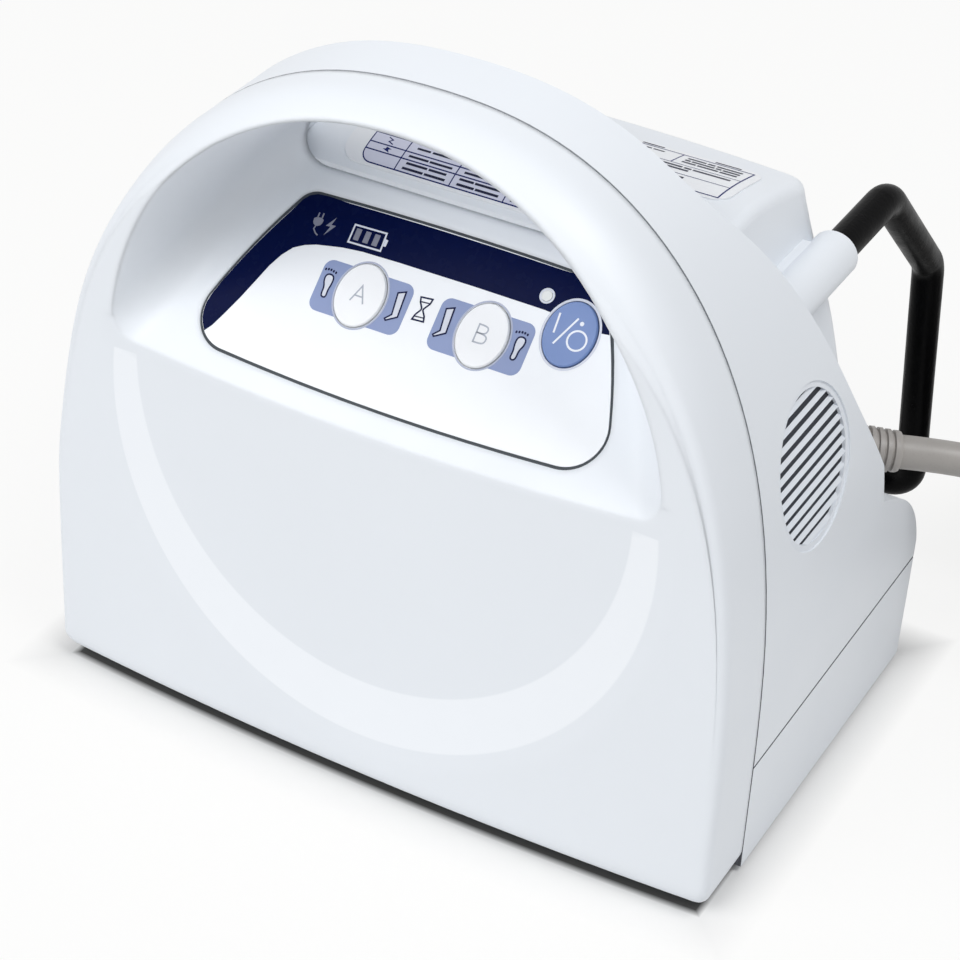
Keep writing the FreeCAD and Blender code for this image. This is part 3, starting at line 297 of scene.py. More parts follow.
CORD_DIAMETER = 0.009
RELIEF_TIP = (94.08, 21.56, 71.57)
CORD_POINTS = [
    (107.97, 29.91, 69.58),
    (126.5, 37.5, 65.0),
    (144.0, 41.5, 53.5),
    (161.5, 42.7, 38.0),
    (182.8, 48.4, 21.5),
    (200.9, 61.1, 10.5),
    (212.9, 79.3, 5.6),
    (217.2, 101.0, 4.7),
    (212.6, 121.9, 4.7),
]
COIL_CENTER = (156.0, 106.0)
# each turn's lane: its radius and the height of its centre line
COIL_TURNS = [(54.0, 4.5), (45.0, 4.5), (36.0, 4.5), (36.0, 13.5), (45.0, 13.5), (54.0, 13.5),
              (54.0, 22.5), (45.0, 22.5), (36.0, 22.5), (45.0, 31.5)]
TURN_POINTS = 14
LAST_TURN_POINTS = 3
COIL_START = 0.611
LANE_SHARE, RISE_SPEED = 0.7, 4
TO_PLUG = [(123.1, 136.7, 33.5), (114.3, 122.9, 38.0), (112.0, 112.0, 40.0), (112.0, 104.0, 40.0)]


def coil_points():
    """Turns of the wound lead, beside and on each other, from the ground up."""
    points = []
    for step in range((len(COIL_TURNS) - 1) * TURN_POINTS + LAST_TURN_POINTS + 1):
        turn, part = divmod(step, TURN_POINTS)
        here = COIL_TURNS[turn]
        there = COIL_TURNS[min(turn + 1, len(COIL_TURNS) - 1)]
        # a turn keeps its lane for most of the way round, then rises or moves over to the next
        share = max(0.0, (part / TURN_POINTS - LANE_SHARE) / (1 - LANE_SHARE))
        radius = mix(here[0], there[0], share)
        height = mix(here[1], there[1], min(1.0, RISE_SPEED * share))
        angle = COIL_START + 2 * math.pi * step / TURN_POINTS
        points.append((COIL_CENTER[0] + radius * math.cos(angle), COIL_CENTER[1] + radius * math.sin(angle),
                       height))
    return points


def nurbs(name, points, radius):
    curve = bpy.data.curves.new(name, "CURVE")
    curve.dimensions = "3D"
    spline = curve.splines.new("NURBS")
    spline.points.add(len(points) - 1)
    for point, place in zip(spline.points, points):
        point.co = (*(c * MM for c in place), 1)
    spline.order_u = 3
    spline.use_endpoint_u = True
    spline.resolution_u = 8
    curve.bevel_depth = radius
    curve.bevel_resolution = 6
    curve.use_fill_caps = True
    obj = bpy.data.objects.new(name, curve)
    scene.collection.objects.link(obj)
    return obj


cord_mat = surface("cord_pvc", (0.365, 0.345, 0.325), 0.42, drift=0.06, drift_scale=40.0, grain=2500.0,
                   grain_depth=0.05, rough_drift=0.08, speck=0.06)
lead = nurbs("mains_lead", [RELIEF_TIP] + CORD_POINTS + coil_points() + TO_PLUG, CORD_DIAMETER / 2)
lead.data.materials.append(cord_mat)
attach(lead, "housing")
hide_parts("mains_cord", "cord_coil")

# tapered strain relief with flexing grooves
GLAND = Vector((82.0, 14.3, 73.3)) * MM
GLAND_SWING, GLAND_DIP = math.radians(31.0), math.radians(7.0)
GLAND_WAY = Vector((math.cos(GLAND_DIP) * math.cos(GLAND_SWING), math.cos(GLAND_DIP) * math.sin(GLAND_SWING),
                    -math.sin(GLAND_DIP)))
RELIEF_ROOT_RADIUS, RELIEF_TIP_RADIUS = 6.3, 5.45
RELIEF_RIBS, RELIEF_PITCH, RELIEF_GROOVE = 6, 2.1, 0.75
relief_rings = [(-7.6, 4.6), (-7.6, RELIEF_ROOT_RADIUS), (0.0, RELIEF_ROOT_RADIUS), (0.6, 6.1)]
for rib in range(RELIEF_RIBS):
    at = 1.2 + RELIEF_PITCH * rib
    ridge = mix(RELIEF_ROOT_RADIUS, RELIEF_TIP_RADIUS, rib / (RELIEF_RIBS - 1))
    groove = ridge - RELIEF_GROOVE
    relief_rings += [(at, groove), (at + 0.5, groove), (at + 0.75, ridge), (at + 1.85, ridge)]
relief_rings += [(14.2, 5.2), (14.4, 4.45)]
relief = crease(lathe("lead_relief", relief_rings, GLAND, GLAND_WAY))
relief.data.materials.append(cord_mat)
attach(relief, "housing")
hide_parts("strain_relief")

# moulded plug with a ribbed neck, two blades and an earth pin
PLUG = Vector((112.0, 106.0, 40.0)) * MM
PLUG_RIBS, PLUG_PITCH, PLUG_NECK = 4, 2.6, 2.2
BLADE_OFFSET, BLADE_HEIGHT, EARTH_DROP = 6.35, 1.5, -7.5
plug_sections = [(0.0, 6.0, 6.0, 2.0), (0.4, 6.2, 6.2, 2.0)]
for rib in range(PLUG_RIBS):
    at = 1.5 + PLUG_PITCH * rib
    ridge = (6.9 + rib * 0.5, 6.8 + rib * 0.4, PLUG_NECK)
    plug_sections += [(at, 6.0 + rib * 0.4, 6.0 + rib * 0.3, PLUG_NECK), (at + 0.7, *ridge),
                      (at + 1.7, *ridge), (at + 2.2, 6.1 + rib * 0.5, 6.1 + rib * 0.4, PLUG_NECK)]
plug_sections += [(13.5, 9.0, 8.5, 2.6), (17.0, 13.2, 11.0, 3.2), (22.0, 14.4, 12.2, 4.0),
                  (33.0, 14.6, 12.6, 4.5), (38.6, 14.4, 12.5, 5.0), (39.7, 13.9, 12.0, 5.0),
                  (40.0, 13.0, 11.2, 5.0)]
BLADE_SECTIONS = [(39.0, 0.75, 3.2, 6), (53.5, 0.75, 3.2, 6), (55.6, 0.6, 2.4, 4), (56.0, 0.3, 1.8, 3)]
EARTH_RINGS = [(39.0, 2.35), (55.5, 2.35), (58.0, 1.7), (58.8, 0.8)]
plug = subdivided(loft_boxes("plug_body", plug_sections, PLUG))
plug_mat = surface("plug_pvc", (0.30, 0.29, 0.28), 0.5, drift=0.05, grain=1800.0, grain_depth=0.06,
                   speck=0.05)
plug.data.materials.append(plug_mat)
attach(plug, "housing")
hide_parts("mains_plug")
steel = surface("turned_steel", (0.62, 0.61, 0.59), 0.28, drift=0.05, grain=5000.0, grain_depth=0.01,
                metallic=1.0, rough_drift=0.1)
blades = []
for side in (-1, 1):
    blade = loft_boxes("plug_blade_" + ("left" if side < 0 else "right"), BLADE_SECTIONS,
                       PLUG + Vector((side * BLADE_OFFSET, 0, BLADE_HEIGHT)) * MM)
    blades.append(crease(blade))
pin = lathe("plug_earth_pin", EARTH_RINGS, PLUG + Vector((0, 0, EARTH_DROP)) * MM, Vector((0, -1, 0)))
blades.append(crease(pin))
for blade in blades:
    blade.data.materials.append(steel)
    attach(blade, "housing")

# ---------------------------------------------------------------- floor and light

FLOOR_CORNERS = [(-4, -4, 0), (4, -4, 0), (4, 4, 0), (-4, 4, 0)]
# half width, front reach, bulge of the front and back reach of the base's outline
FOOTPRINT = (98.4, 92.9, 3.6, 31.0)
# over these distances from that outline, in metres, the paper turns from a dark painted contact shadow to
# light and starts to glow; the glow is held back near the outline, which leaves painted shade round the base
SHADOW_PAINT_BAND, SHADOW_PAINT_TONE, SHADOW_PAINT_COLOUR = (-0.0036, -0.0016), 0.08, (0.02, 0.02, 0.02)
GLOW_BAND, FLOOR_GLOW = (-0.001, 0.012), 0.86
PAPER_LOW, PAPER_HIGH = (0.80, 0.80, 0.795), (0.83, 0.83, 0.825)
PAPER_ROUGHNESS, PAPER_SPECULAR = 0.85, 0.1
WORLD_COLOUR, WORLD_STRENGTH, BACKDROP_COLOUR = (0.97, 0.98, 1.0), 0.36, (0.985, 0.985, 0.985)
# each lamp's place, target, size and power
LIGHTS = {
    "key": ((-0.7, -1.2, 1.3), (0, 0, 0.08), 1.2, 17.5),
    "right": ((0.85, -0.1, 1.65), (0, 0, 0.12), 0.8, 13.5),
}


def beyond_footprint(tree):
    """How far a point of the floor lies outside the base's outline, in metres, and below zero inside it."""
    wide, deep, bulge, back_reach = (c * MM for c in FOOTPRINT)
    across, away, _ = split_place(tree)
    bowed = product(tree, across, across, bulge / wide ** 2)
    ahead = math_node(tree, "SUBTRACT", bowed, away)
    front = math_node(tree, "SUBTRACT", ahead, deep)
    side = math_node(tree, "SUBTRACT", math_node(tree, "ABSOLUTE", across), wide)
    back = math_node(tree, "SUBTRACT", away, back_reach)
    return math_node(tree, "MAXIMUM", math_node(tree, "MAXIMUM", front, side), back)


def floor_paper():
    """Paper with a painted contact shadow in the gap under the base and just round it, and white to the eye
    in the open.
    """
    mat, tree, shader = nodes_of("floor_paper")
    paper = drifting(tree, noise(tree, 3.0, 4.0), PAPER_LOW, PAPER_HIGH)
    beyond = beyond_footprint(tree)
    # painted contact shadow: the paper darkens towards the base's outline and under it
    painted_shadow = remap(tree, beyond, *SHADOW_PAINT_BAND, SHADOW_PAINT_TONE, 1.0)
    feed(tree, shader.inputs["Base Color"], mixed_colour(tree, painted_shadow, (*SHADOW_PAINT_COLOUR, 1), paper))
    feed(tree, shader.inputs["Roughness"], PAPER_ROUGHNESS)
    feed(tree, shader.inputs["Specular IOR Level"], PAPER_SPECULAR)
    glow = add(tree, "ShaderNodeEmission", Color=(1.0, 1.0, 0.995, 1), Strength=1.0)
    # the glow fades out towards the base, so the paper there stays darker as painted shade
    glowing = product(tree, any_ray(tree), remap(tree, beyond, *GLOW_BAND, 0.0, FLOOR_GLOW))
    shown = mixed_shader(tree, glowing, shader.outputs["BSDF"], glow.outputs["Emission"])
    tree.links.new(shown, tree.nodes["Material Output"].inputs["Surface"])
    return mat


def studio_world():
    """Plain soft light all round, and a near white backdrop for the eye."""
    world = bpy.data.worlds.new("studio")
    world.use_nodes = True
    tree = world.node_tree
    soft = tree.nodes["Background"]
    feed(tree, soft.inputs["Color"], (*WORLD_COLOUR, 1))
    feed(tree, soft.inputs["Strength"], WORLD_STRENGTH)
    backdrop = add(tree, "ShaderNodeBackground", Color=(*BACKDROP_COLOUR, 1), Strength=1.0)
    shown = mixed_shader(tree, any_ray(tree), soft.outputs["Background"], backdrop.outputs["Background"])
    tree.links.new(shown, tree.nodes["World Output"].inputs["Surface"])
    return world


def area_light(name, place, target, size, power):
    light = bpy.data.lights.new(name, "AREA")
    light.shape = "RECTANGLE"
    light.size = light.size_y = size
    light.energy = power
    obj = bpy.data.objects.new(name, light)
    scene.collection.objects.link(obj)
    obj.location = place
    obj.rotation_euler = (Vector(target) - Vector(place)).to_track_quat("-Z", "Y").to_euler()


floor = link_mesh("floor", FLOOR_CORNERS, [(0, 1, 2, 3)])
floor.data.materials.append(floor_paper())
scene.world = studio_world()
for name, setting in LIGHTS.items():
    area_light(name, *setting)

# ---------------------------------------------------------------- finishes of the modelled parts


def moulded_white(name):
    return surface(name, (0.82, 0.855, 0.90), 0.44, drift=0.012, drift_scale=9.0, grain=4200.0,
                   grain_depth=0.02)


housing = moulded_white("housing_abs")
louvre = surface("louvre_abs", (0.80, 0.835, 0.885), 0.46, drift=0.015, grain=4200.0, grain_depth=0.02)
film = surface("panel_film", (0.86, 0.885, 0.92), 0.32, drift=0.01, drift_scale=25.0, grain=2600.0,
               grain_depth=0.008, rough_drift=0.04)
seal = surface("seal_rubber", (0.075, 0.085, 0.095), 0.6, drift=0.06, grain=2500.0, grain_depth=0.03,
               specular=0.15)
key_white = surface("key_white", (0.88, 0.895, 0.92), 0.36, drift=0.01, grain=3200.0, grain_depth=0.008)
key_blue = surface("key_blue", (0.175, 0.265, 0.53), 0.36, drift=0.03, grain=3200.0, grain_depth=0.008,
                   specular=0.3)
label_film = surface("label_film", (0.84, 0.86, 0.89), 0.38, drift=0.015, grain=2200.0, grain_depth=0.012)
hook_coat = surface("hook_dip", (0.0015, 0.0015, 0.0018), 0.34, drift=0.15, drift_scale=30.0, grain=900.0,
                    grain_depth=0.10, rough_drift=0.08, specular=0.04)
foot_rubber = surface("foot_rubber", (0.035, 0.035, 0.038), 0.75, drift=0.15, grain=1500.0, grain_depth=0.08)
lamp_clear = surface("lamp_lens", (0.60, 0.62, 0.62), 0.18, drift=0.04, grain=2500.0, grain_depth=0.01,
                     coat=0.4)
inner_plastic = surface("inner_plastic", (0.10, 0.105, 0.115), 0.55, drift=0.08, grain=2200.0,
                        grain_depth=0.04)
board = surface("board_laminate", (0.015, 0.085, 0.045), 0.4, drift=0.15, drift_scale=60.0, grain=1400.0,
                grain_depth=0.03, speck=0.2)
port_blue = surface("port_moulding", (0.07, 0.13, 0.30), 0.42, drift=0.05, grain=2600.0, grain_depth=0.03)
alloy = surface("cast_alloy", (0.42, 0.43, 0.45), 0.45, drift=0.08, grain=1200.0, grain_depth=0.08,
                metallic=1.0)
wrap = surface("battery_wrap", (0.02, 0.05, 0.16), 0.3, drift=0.08, grain=900.0, grain_depth=0.05, coat=0.3)

# the band's circles as (height of the centre, radius), and the height and the depth where it ends
BAND_OUTER, BAND_INNER, BAND_TOP, BAND_BACK = (95.03, 77.2), (103.7, 70.0), 103.4, -80.3
# the band's paler colour is a painted highlight where its slope faces the light
BAND_HIGHLIGHT_COLOUR = (0.90, 0.93, 0.97)
BAND_BLUR, BAND_TOP_BLUR, BAND_BACK_BLUR = 0.25, 0.2, 0.3
# the seam behind the cover leans back from its foot, and the seam above the tray is level
SEAM_LEAN, SEAM_START, SEAM_GAP, SEAM_FOOT, TRAY_TOP = math.tan(math.radians(5.5)), -69.3, 0.5, 2.0, 33.0
SEAM_BLUR, SEAM_SPILL = 0.05, 0.1
# the colour of the painted shade in the seams, and the heights over which it weakens to a share of its
# strength
SEAM_SHADE_COLOUR, SEAM_SHADE_FADE, SEAM_SHADE_TOP_SHARE = (0.09, 0.095, 0.11), (50.0, 130.0), 0.55
RIM_RADIUS = 2.4


def ring_band_highlight(mat):
    """Painted highlight: a paler colour on the sloped band that frames the disc of the front, where the band
    faces the light.
    """
    tree = mat.node_tree
    x, y, z = split_place(tree)
    shares = [ramped(tree, z, BAND_TOP + BAND_TOP_BLUR, BAND_TOP - BAND_TOP_BLUR),
              ramped(tree, y, BAND_BACK + BAND_BACK_BLUR, BAND_BACK)]
    for (height, radius), blur in ((BAND_OUTER, BAND_BLUR), (BAND_INNER, -BAND_BLUR)):
        up = math_node(tree, "SUBTRACT", z, height * MM)
        squared = math_node(tree, "ADD", product(tree, x, x), product(tree, up, up))
        shares.append(ramped(tree, math_node(tree, "SQRT", squared), radius + blur, radius - blur))
    return painted(mat, product(tree, *shares), BAND_HIGHLIGHT_COLOUR)


def seam_shade(mat):
    """Painted shade in the gaps at the seams behind the front cover and above the base tray, weaker towards
    the top.
    """
    tree = mat.node_tree
    _, y, z = split_place(tree)
    leaning = product(tree, math_node(tree, "SUBTRACT", z, SEAM_FOOT * MM), SEAM_LEAN)
    back = math_node(tree, "SUBTRACT", y, leaning)
    upright = product(tree, ramped(tree, back, SEAM_START - SEAM_SPILL - SEAM_BLUR, SEAM_START - SEAM_SPILL),
                      ramped(tree, back, SEAM_START + SEAM_GAP + SEAM_BLUR, SEAM_START + SEAM_GAP))
    level = product(tree, ramped(tree, z, TRAY_TOP - SEAM_GAP - SEAM_BLUR, TRAY_TOP - SEAM_GAP),
                    ramped(tree, z, TRAY_TOP + SEAM_SPILL + SEAM_BLUR, TRAY_TOP + SEAM_SPILL))
    fading = remap(tree, z, SEAM_SHADE_FADE[0] * MM, SEAM_SHADE_FADE[1] * MM, 1.0, SEAM_SHADE_TOP_SHARE)
    return painted(mat, product(tree, math_node(tree, "MAXIMUM", upright, level), fading), SEAM_SHADE_COLOUR)


def dress(names, mat):
    for name in names:
        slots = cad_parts[name].data.materials
        slots.clear()
        slots.append(mat)


cover = ring_band_highlight(moulded_white("cover_abs"))
shell = seam_shade(moulded_white("shell_abs"))
dress(["front_cover"], softened(cover, RIM_RADIUS))
dress(["rear_housing", "base_tray"], shell)
dress(["battery_door"], housing)
dress(["vent_grille_left", "vent_grille_right"], louvre)
dress(["panel_overlay"], film)
dress(["panel_gasket"], seal)
dress(["button_a", "button_b"], key_white)
dress(["power_button"], key_blue)
dress(["label_plate", "rear_label"], label_film)
dress(["bed_hook"], hook_coat)
dress(["foot_front_left", "foot_front_right", "foot_rear_left", "foot_rear_right"], foot_rubber)
dress(["status_lamp"], lamp_clear)
dress(["panel_carrier", "valve_manifold", "power_supply", "switch_a", "switch_b", "power_switch", "buzzer"],
      inner_plastic)
dress(["display_board", "main_board"], board)
dress(["air_port_a", "air_port_b"], port_blue)
dress(["pump_block", "pump_head", "pump_bracket"], alloy)
dress(["motor_can", "motor_shaft"] + ["valve_coil_%d" % n for n in range(1, 7)], steel)
dress(["battery_pack"], wrap)
dress(["pump_mount_%d" % n for n in range(1, 5)], foot_rubber)

# ---------------------------------------------------------------- flat prints

DECK_TURN = Matrix.Rotation(math.radians(41.6), 3, "X")
DECK_ORIGIN = Vector((0, -81.93, 104.5))
LEAST_MITRE = 0.4


def on_panel(lift):
    """Places a print on the key panel: across and up the slope from the crease, a little off its surface."""
    return lambda u, v: (DECK_ORIGIN + DECK_TURN @ Vector((u, v, lift))) * MM


def ink(name, colour, roughness=0.34, specular=0.3):
    return surface(name, colour, roughness, drift=0.03, drift_scale=60.0, grain=2600.0, grain_depth=0.006,
                   rough_drift=0.04, specular=specular)


def smooth_loop(points, rounds=2, closed=True):
    """Corner cutting, for curved icon outlines."""
    for _ in range(rounds):
        cut = []
        for a, b in zip(points, points[1:] + (points[:1] if closed else [])):
            cut += [(mix(a[0], b[0], share), mix(a[1], b[1], share)) for share in (0.25, 0.75)]
        points = cut if closed else [points[0]] + cut[1:-1] + [points[-1]]
    return points


def oval(u, v, half_u, half_v, count=64):
    return [(u + half_u * math.cos(2 * math.pi * k / count), v + half_v * math.sin(2 * math.pi * k / count))
            for k in range(count)]


def round_rect(u0, v0, u1, v1, radius, steps=8):
    points = []
    for cu, cv, start in ((u1 - radius, v1 - radius, 0), (u0 + radius, v1 - radius, 90),
                          (u0 + radius, v0 + radius, 180), (u1 - radius, v0 + radius, 270)):
        for k in range(steps + 1):
            a = math.radians(start + 90 * k / steps)
            points.append((cu + radius * math.cos(a), cv + radius * math.sin(a)))
    return points


def flat_shape(loops):
    """Points and faces of a flat shape whose loops are its outline and its holes."""
    curve = bpy.data.curves.new("flat", "CURVE")
    curve.dimensions = "2D"
    curve.fill_mode = "BOTH"
    for loop in loops:
        spline = curve.splines.new("POLY")
        spline.points.add(len(loop) - 1)
        for point, (u, v) in zip(spline.points, loop):
            point.co = (u, v, 0, 1)
        spline.use_cyclic_u = True
    obj = bpy.data.objects.new("flat", curve)
    mesh = bpy.data.meshes.new_from_object(obj)
    verts = [(v.co.x, v.co.y) for v in mesh.vertices]
    faces = [tuple(p.vertices) for p in mesh.polygons]
    bpy.data.objects.remove(obj)
    bpy.data.meshes.remove(mesh)
    return verts, faces


def ribbon(points, width, closed=False):
    """Flat stroke of even width along a line, with mitred corners."""
    verts, faces = [], []
    count = len(points)
    for i, point in enumerate(points):
        here = Vector(point)
        before = Vector(points[i - 1]) if closed or i else None
        after = Vector(points[(i + 1) % count]) if closed or i < count - 1 else None
        if before is None:
            before = here * 2 - after
        if after is None:
            after = here * 2 - before
        first, second = (here - before).normalized(), (after - here).normalized()
        way = (first + second).normalized()
        side = Vector((-way.y, way.x))
        scale = width / 2 / max(LEAST_MITRE, side.dot(Vector((-first.y, first.x))))
        verts += [tuple(here + side * scale), tuple(here - side * scale)]
    for i in range(count if closed else count - 1):
        a, b = 2 * i, 2 * ((i + 1) % count)
        faces.append((a, a + 1, b + 1, b))
    return verts, faces


def printed(name, shapes, mat, body, place):
    """One thin printed piece made of flat shapes; place(u, v) puts each point on what carries it."""
    verts, faces = [], []
    for points, polygons in shapes:
        base = len(verts)
        verts += [place(u, v) for u, v in points]
        faces += [tuple(base + i for i in polygon) for polygon in polygons]
    obj = link_mesh(name, verts, faces)
    even_normals(obj, upward=True)
    obj.data.materials.append(mat)
    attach(obj, body)


# ---------------------------------------------------------------- key panel

navy = ink("ink_navy", (0.0010, 0.0045, 0.042), 0.26, 0.03)
dark = ink("ink_dark", (0.008, 0.012, 0.060), 0.34, 0.08)
pad_blue = ink("ink_pad", (0.235, 0.300, 0.520))
ring_blue = ink("ink_ring", (0.42, 0.46, 0.60))
pale = ink("ink_pale", (0.66, 0.69, 0.78))
letter_grey = ink("ink_letter", (0.42, 0.45, 0.52))
white = ink("ink_white", (0.86, 0.88, 0.94))
unlit_grey = ink("ink_unlit", (0.20, 0.21, 0.27))

# layers of ink, by how far they lie off the panel
field_layer, ring_layer, icon_layer, line_layer = (on_panel(lift) for lift in (0.03, 0.05, 0.06, 0.07))
KEY_RISE, KEY_INK = 0.6, 0.02
key_layer = on_panel(KEY_RISE + KEY_INK)

KEYS = ((-17.1, 32.0), (17.1, 32.0))
POWER = (37.9, 38.8)
KEY_HALF = (6.6, 8.1)
NAVY_GAP, RING_GAPS, POWER_RING_GAPS, PAD_GAP = 0.75, (0.75, 0.35), (0.9, 0.35), 0.7
LAMP, LAMP_HOLE, LAMP_RING = (28.6, 45.9), 1.75, (1.95, 1.45)
# the panel's side as (height up the slope, half width), its rounded foot corner and the navy's inset
SIDE_POINTS = ((9.5, 59.0), (31.1, 52.0), (52.7, 41.0))
FOOT_CENTRE, FOOT_RADIUS, FOOT_TANGENT = (46.68, 18.09), 9.5, 21.05
EDGE = 0.06


def panel_half(v):
    """Half width of the panel at a height up the slope: the bowed side through its three points."""
    total = 0.0
    for here, half in SIDE_POINTS:
        for other, _ in SIDE_POINTS:
            if other != here:
                half *= (v - other) / (here - other)
        total += half
    return total


def panel_edge(v):
    """Half width of the panel with its rounded foot corner."""
    u, v0 = FOOT_CENTRE
    return u + math.sqrt(FOOT_RADIUS ** 2 - (v0 - v) ** 2) if v < FOOT_TANGENT else panel_half(v)


def key_oval(centre, gap):
    return oval(*centre, KEY_HALF[0] + gap, KEY_HALF[1] + gap)


def key_ring(centre, gaps):
    return flat_shape([key_oval(centre, gap) for gap in gaps])


LEFT_HEIGHTS = (11.5, 12.5, 13.5, 14.6, 15.8, 17.2, 18.6, 21, 25, 29, 33, 37, 41, 44, 46.5)
RIGHT_HEIGHTS = (46.5, 44, 41.5)
TOP_HEIGHT, TOP_BOW = 53.25, 0.6
left = [(-panel_edge(v) + EDGE, v) for v in LEFT_HEIGHTS]
top_left = [(-43.4, 48.6), (-42.6, 50.3), (-41.2, 51.9), (-39.2, 52.8), (-36.0, 53.05)]
top = [(u, TOP_HEIGHT - TOP_BOW * (u / SIDE_POINTS[-1][1]) ** 2) for u in (-30, -20, -10, 0, 10, 20, 30)]
right = [(-u, v) for u, v in reversed(top_left)] + [(panel_half(v) - EDGE, v) for v in RIGHT_HEIGHTS]
# the navy runs round the top of the power key, between the turns where the key's oval leaves it
NOTCH_FROM, NOTCH_TO, NOTCH_STEPS = math.radians(16.0), math.radians(156.3), 32
NOTCH_HALF = (KEY_HALF[0] + NAVY_GAP, KEY_HALF[1] + NAVY_GAP)
notch = [(POWER[0] + NOTCH_HALF[0] * math.cos(t), POWER[1] + NOTCH_HALF[1] * math.sin(t))
         for t in (mix(NOTCH_FROM, NOTCH_TO, k / NOTCH_STEPS) for k in range(NOTCH_STEPS + 1))]
under = [(29.5, 42.5), (10.0, 42.65), (-3.7, 42.6), (-10.3, 42.6), (-21.5, 42.4), (-26.9, 41.9),
         (-30.8, 41.2), (-34.0, 40.6), (-37.0, 39.6), (-39.7, 38.1), (-41.9, 35.5), (-43.8, 32.1),
         (-45.8, 27.1), (-47.8, 22.2), (-50.3, 16.8), (-52.0, 13.4)]
field = left + top_left + top + right + notch + under
printed("print_navy", [flat_shape([field, oval(*LAMP, LAMP_HOLE, LAMP_HOLE, 24)])], navy, "housing",
        field_layer)
printed("print_key_rings", [key_ring(key, RING_GAPS) for key in KEYS], ring_blue, "housing", ring_layer)
printed("print_power_ring", [key_ring(POWER, POWER_RING_GAPS)], pale, "housing", ring_layer)

PAD_SPANS = ((-29.6, -4.0), (4.0, 29.6))
PAD_FOOT, PAD_HEAD, PAD_CORNER = 25.0, 38.4, 2.5
PAD_SPLIT, PAD_STEPS = 0.6, 24


def key_pad(span, centre):
    """A pad either side of its key: the outline's points on each side, closed along the key's oval."""
    u, v = centre
    a, b = KEY_HALF[0] + PAD_GAP, KEY_HALF[1] + PAD_GAP
    outline = round_rect(span[0], PAD_FOOT, span[1], PAD_HEAD, PAD_CORNER)
    shapes = []
    for side in (-1, 1):
        half = [p for p in outline if (p[0] - u) * side > a * PAD_SPLIT]
        half.sort(key=lambda p: math.atan2(p[1] - v, (p[0] - u) * side))
        high = math.asin(min(1.0, (half[-1][1] - v) / b))
        low = math.asin(max(-1.0, (half[0][1] - v) / b))
        arc = [(u + side * a * math.cos(t), v + b * math.sin(t))
               for t in (mix(high, low, k / PAD_STEPS) for k in range(PAD_STEPS + 1))]
        shapes.append(flat_shape([half + arc]))
    return shapes


printed("print_pads", [shape for span, key in zip(PAD_SPANS, KEYS) for shape in key_pad(span, key)],
        pad_blue, "housing", field_layer)

FOOT = [(-1.5, 2.4), (-0.4, 2.9), (0.8, 2.4), (0.9, 0.6), (0.55, -1.1), (0.75, -2.9), (-0.1, -3.2),
        (-0.75, -2.7), (-0.75, -0.6), (-1.5, 0.9)]
LEG = [(-0.9, 3.4), (1.1, 4.2), (1.5, -2.3), (-1.2, -3.9), (-1.6, -3.5), (-0.2, -2.1)]
GLASS = [(-1.75, 2.9), (1.45, 3.2), (1.2, 1.9), (0.15, 0.35), (0.1, -0.1), (1.1, -1.5), (1.4, -2.7),
         (-1.75, -2.9), (-1.4, -1.6), (-0.45, -0.1), (-0.45, 0.35), (-1.4, 1.7)]
FOOT_PLACES = ((-26.6, 31.9, False), (26.6, 31.9, True))
LEG_PLACES = ((-7.1, 32.1), (6.5, 32.1))
GLASS_PLACE = (-0.1, 33.4)
GLASS_CAPS = (((-1.7, 35.2), (1.3, 35.4)), ((-1.6, 31.4), (1.2, 31.6)))
ICON_STROKE, CAP_STROKE, LETTER_STROKES, MARK_STROKE = 0.42, 0.3, (0.42, 0.40, 0.38), 0.5
# each row of toes starts here and runs this way
TOE_ROWS = ((-28.8, 1), (27.9, -1))
TOES, TOE_PITCH, TOE_HEIGHT, TOE_SWAY, TOE_HALF = 5, 0.75, 35.6, 0.2, (0.28, 0.36)


def moved(points, u, v, flip=False):
    return [(u + (-x if flip else x), v + y) for x, y in points]


icons = [smooth_loop(moved(FOOT, *place)) for place in FOOT_PLACES]
icons += [moved(LEG, *place) for place in LEG_PLACES]
printed("print_icon_fill", [flat_shape([loop]) for loop in icons], pale, "housing", ring_layer)
lines = [ribbon(loop, ICON_STROKE, True) for loop in icons + [moved(GLASS, *GLASS_PLACE)]]
lines += [ribbon(cap, CAP_STROKE) for cap in GLASS_CAPS]
for u, way in TOE_ROWS:
    lines += [flat_shape([oval(u + way * TOE_PITCH * k, TOE_HEIGHT + TOE_SWAY * math.sin(k), *TOE_HALF, 12)])
              for k in range(TOES)]
printed("print_icon_lines", lines, dark, "housing", line_layer)

# battery, with its terminal and three cells, then the plug and the flash
CELL_FOOT, CELL_HEAD, CELL_WIDTH, CELL_LEFTS = 44.6, 47.6, 1.5, (-25.3, -22.6, -20.0)
battery = [ribbon([(-26.2, 48.3), (-17.2, 48.5), (-17.0, 43.9), (-26.2, 43.7)], 0.45, True),
           flat_shape([[(-16.9, 47.1), (-16.1, 47.0), (-16.1, 45.3), (-16.8, 45.2)]])]
cells = [flat_shape([[(u0, CELL_FOOT), (u1, CELL_FOOT), (u1, CELL_HEAD), (u0, CELL_HEAD)]])
         for u0, u1 in ((u, u + CELL_WIDTH) for u in CELL_LEFTS)]
plug_icon = smooth_loop([(-37.6, 47.2), (-34.8, 47.4), (-34.9, 45.6), (-36.2, 44.9), (-37.4, 45.5)], 1)
flash = [(-31.7, 48.6), (-33.7, 45.8), (-32.4, 45.9), (-33.3, 43.3), (-31.0, 46.5), (-32.3, 46.4)]
unlit = [ribbon([(-36.7, 47.3), (-36.7, 48.5)], 0.4), ribbon([(-35.5, 47.4), (-35.5, 48.6)], 0.4),
         flat_shape([plug_icon]), ribbon([(-36.3, 45.1), (-36.5, 44.2), (-35.6, 43.3), (-34.8, 42.9)], 0.35),
         flat_shape([flash])]
printed("print_status_icons", battery, pale, "housing", icon_layer)
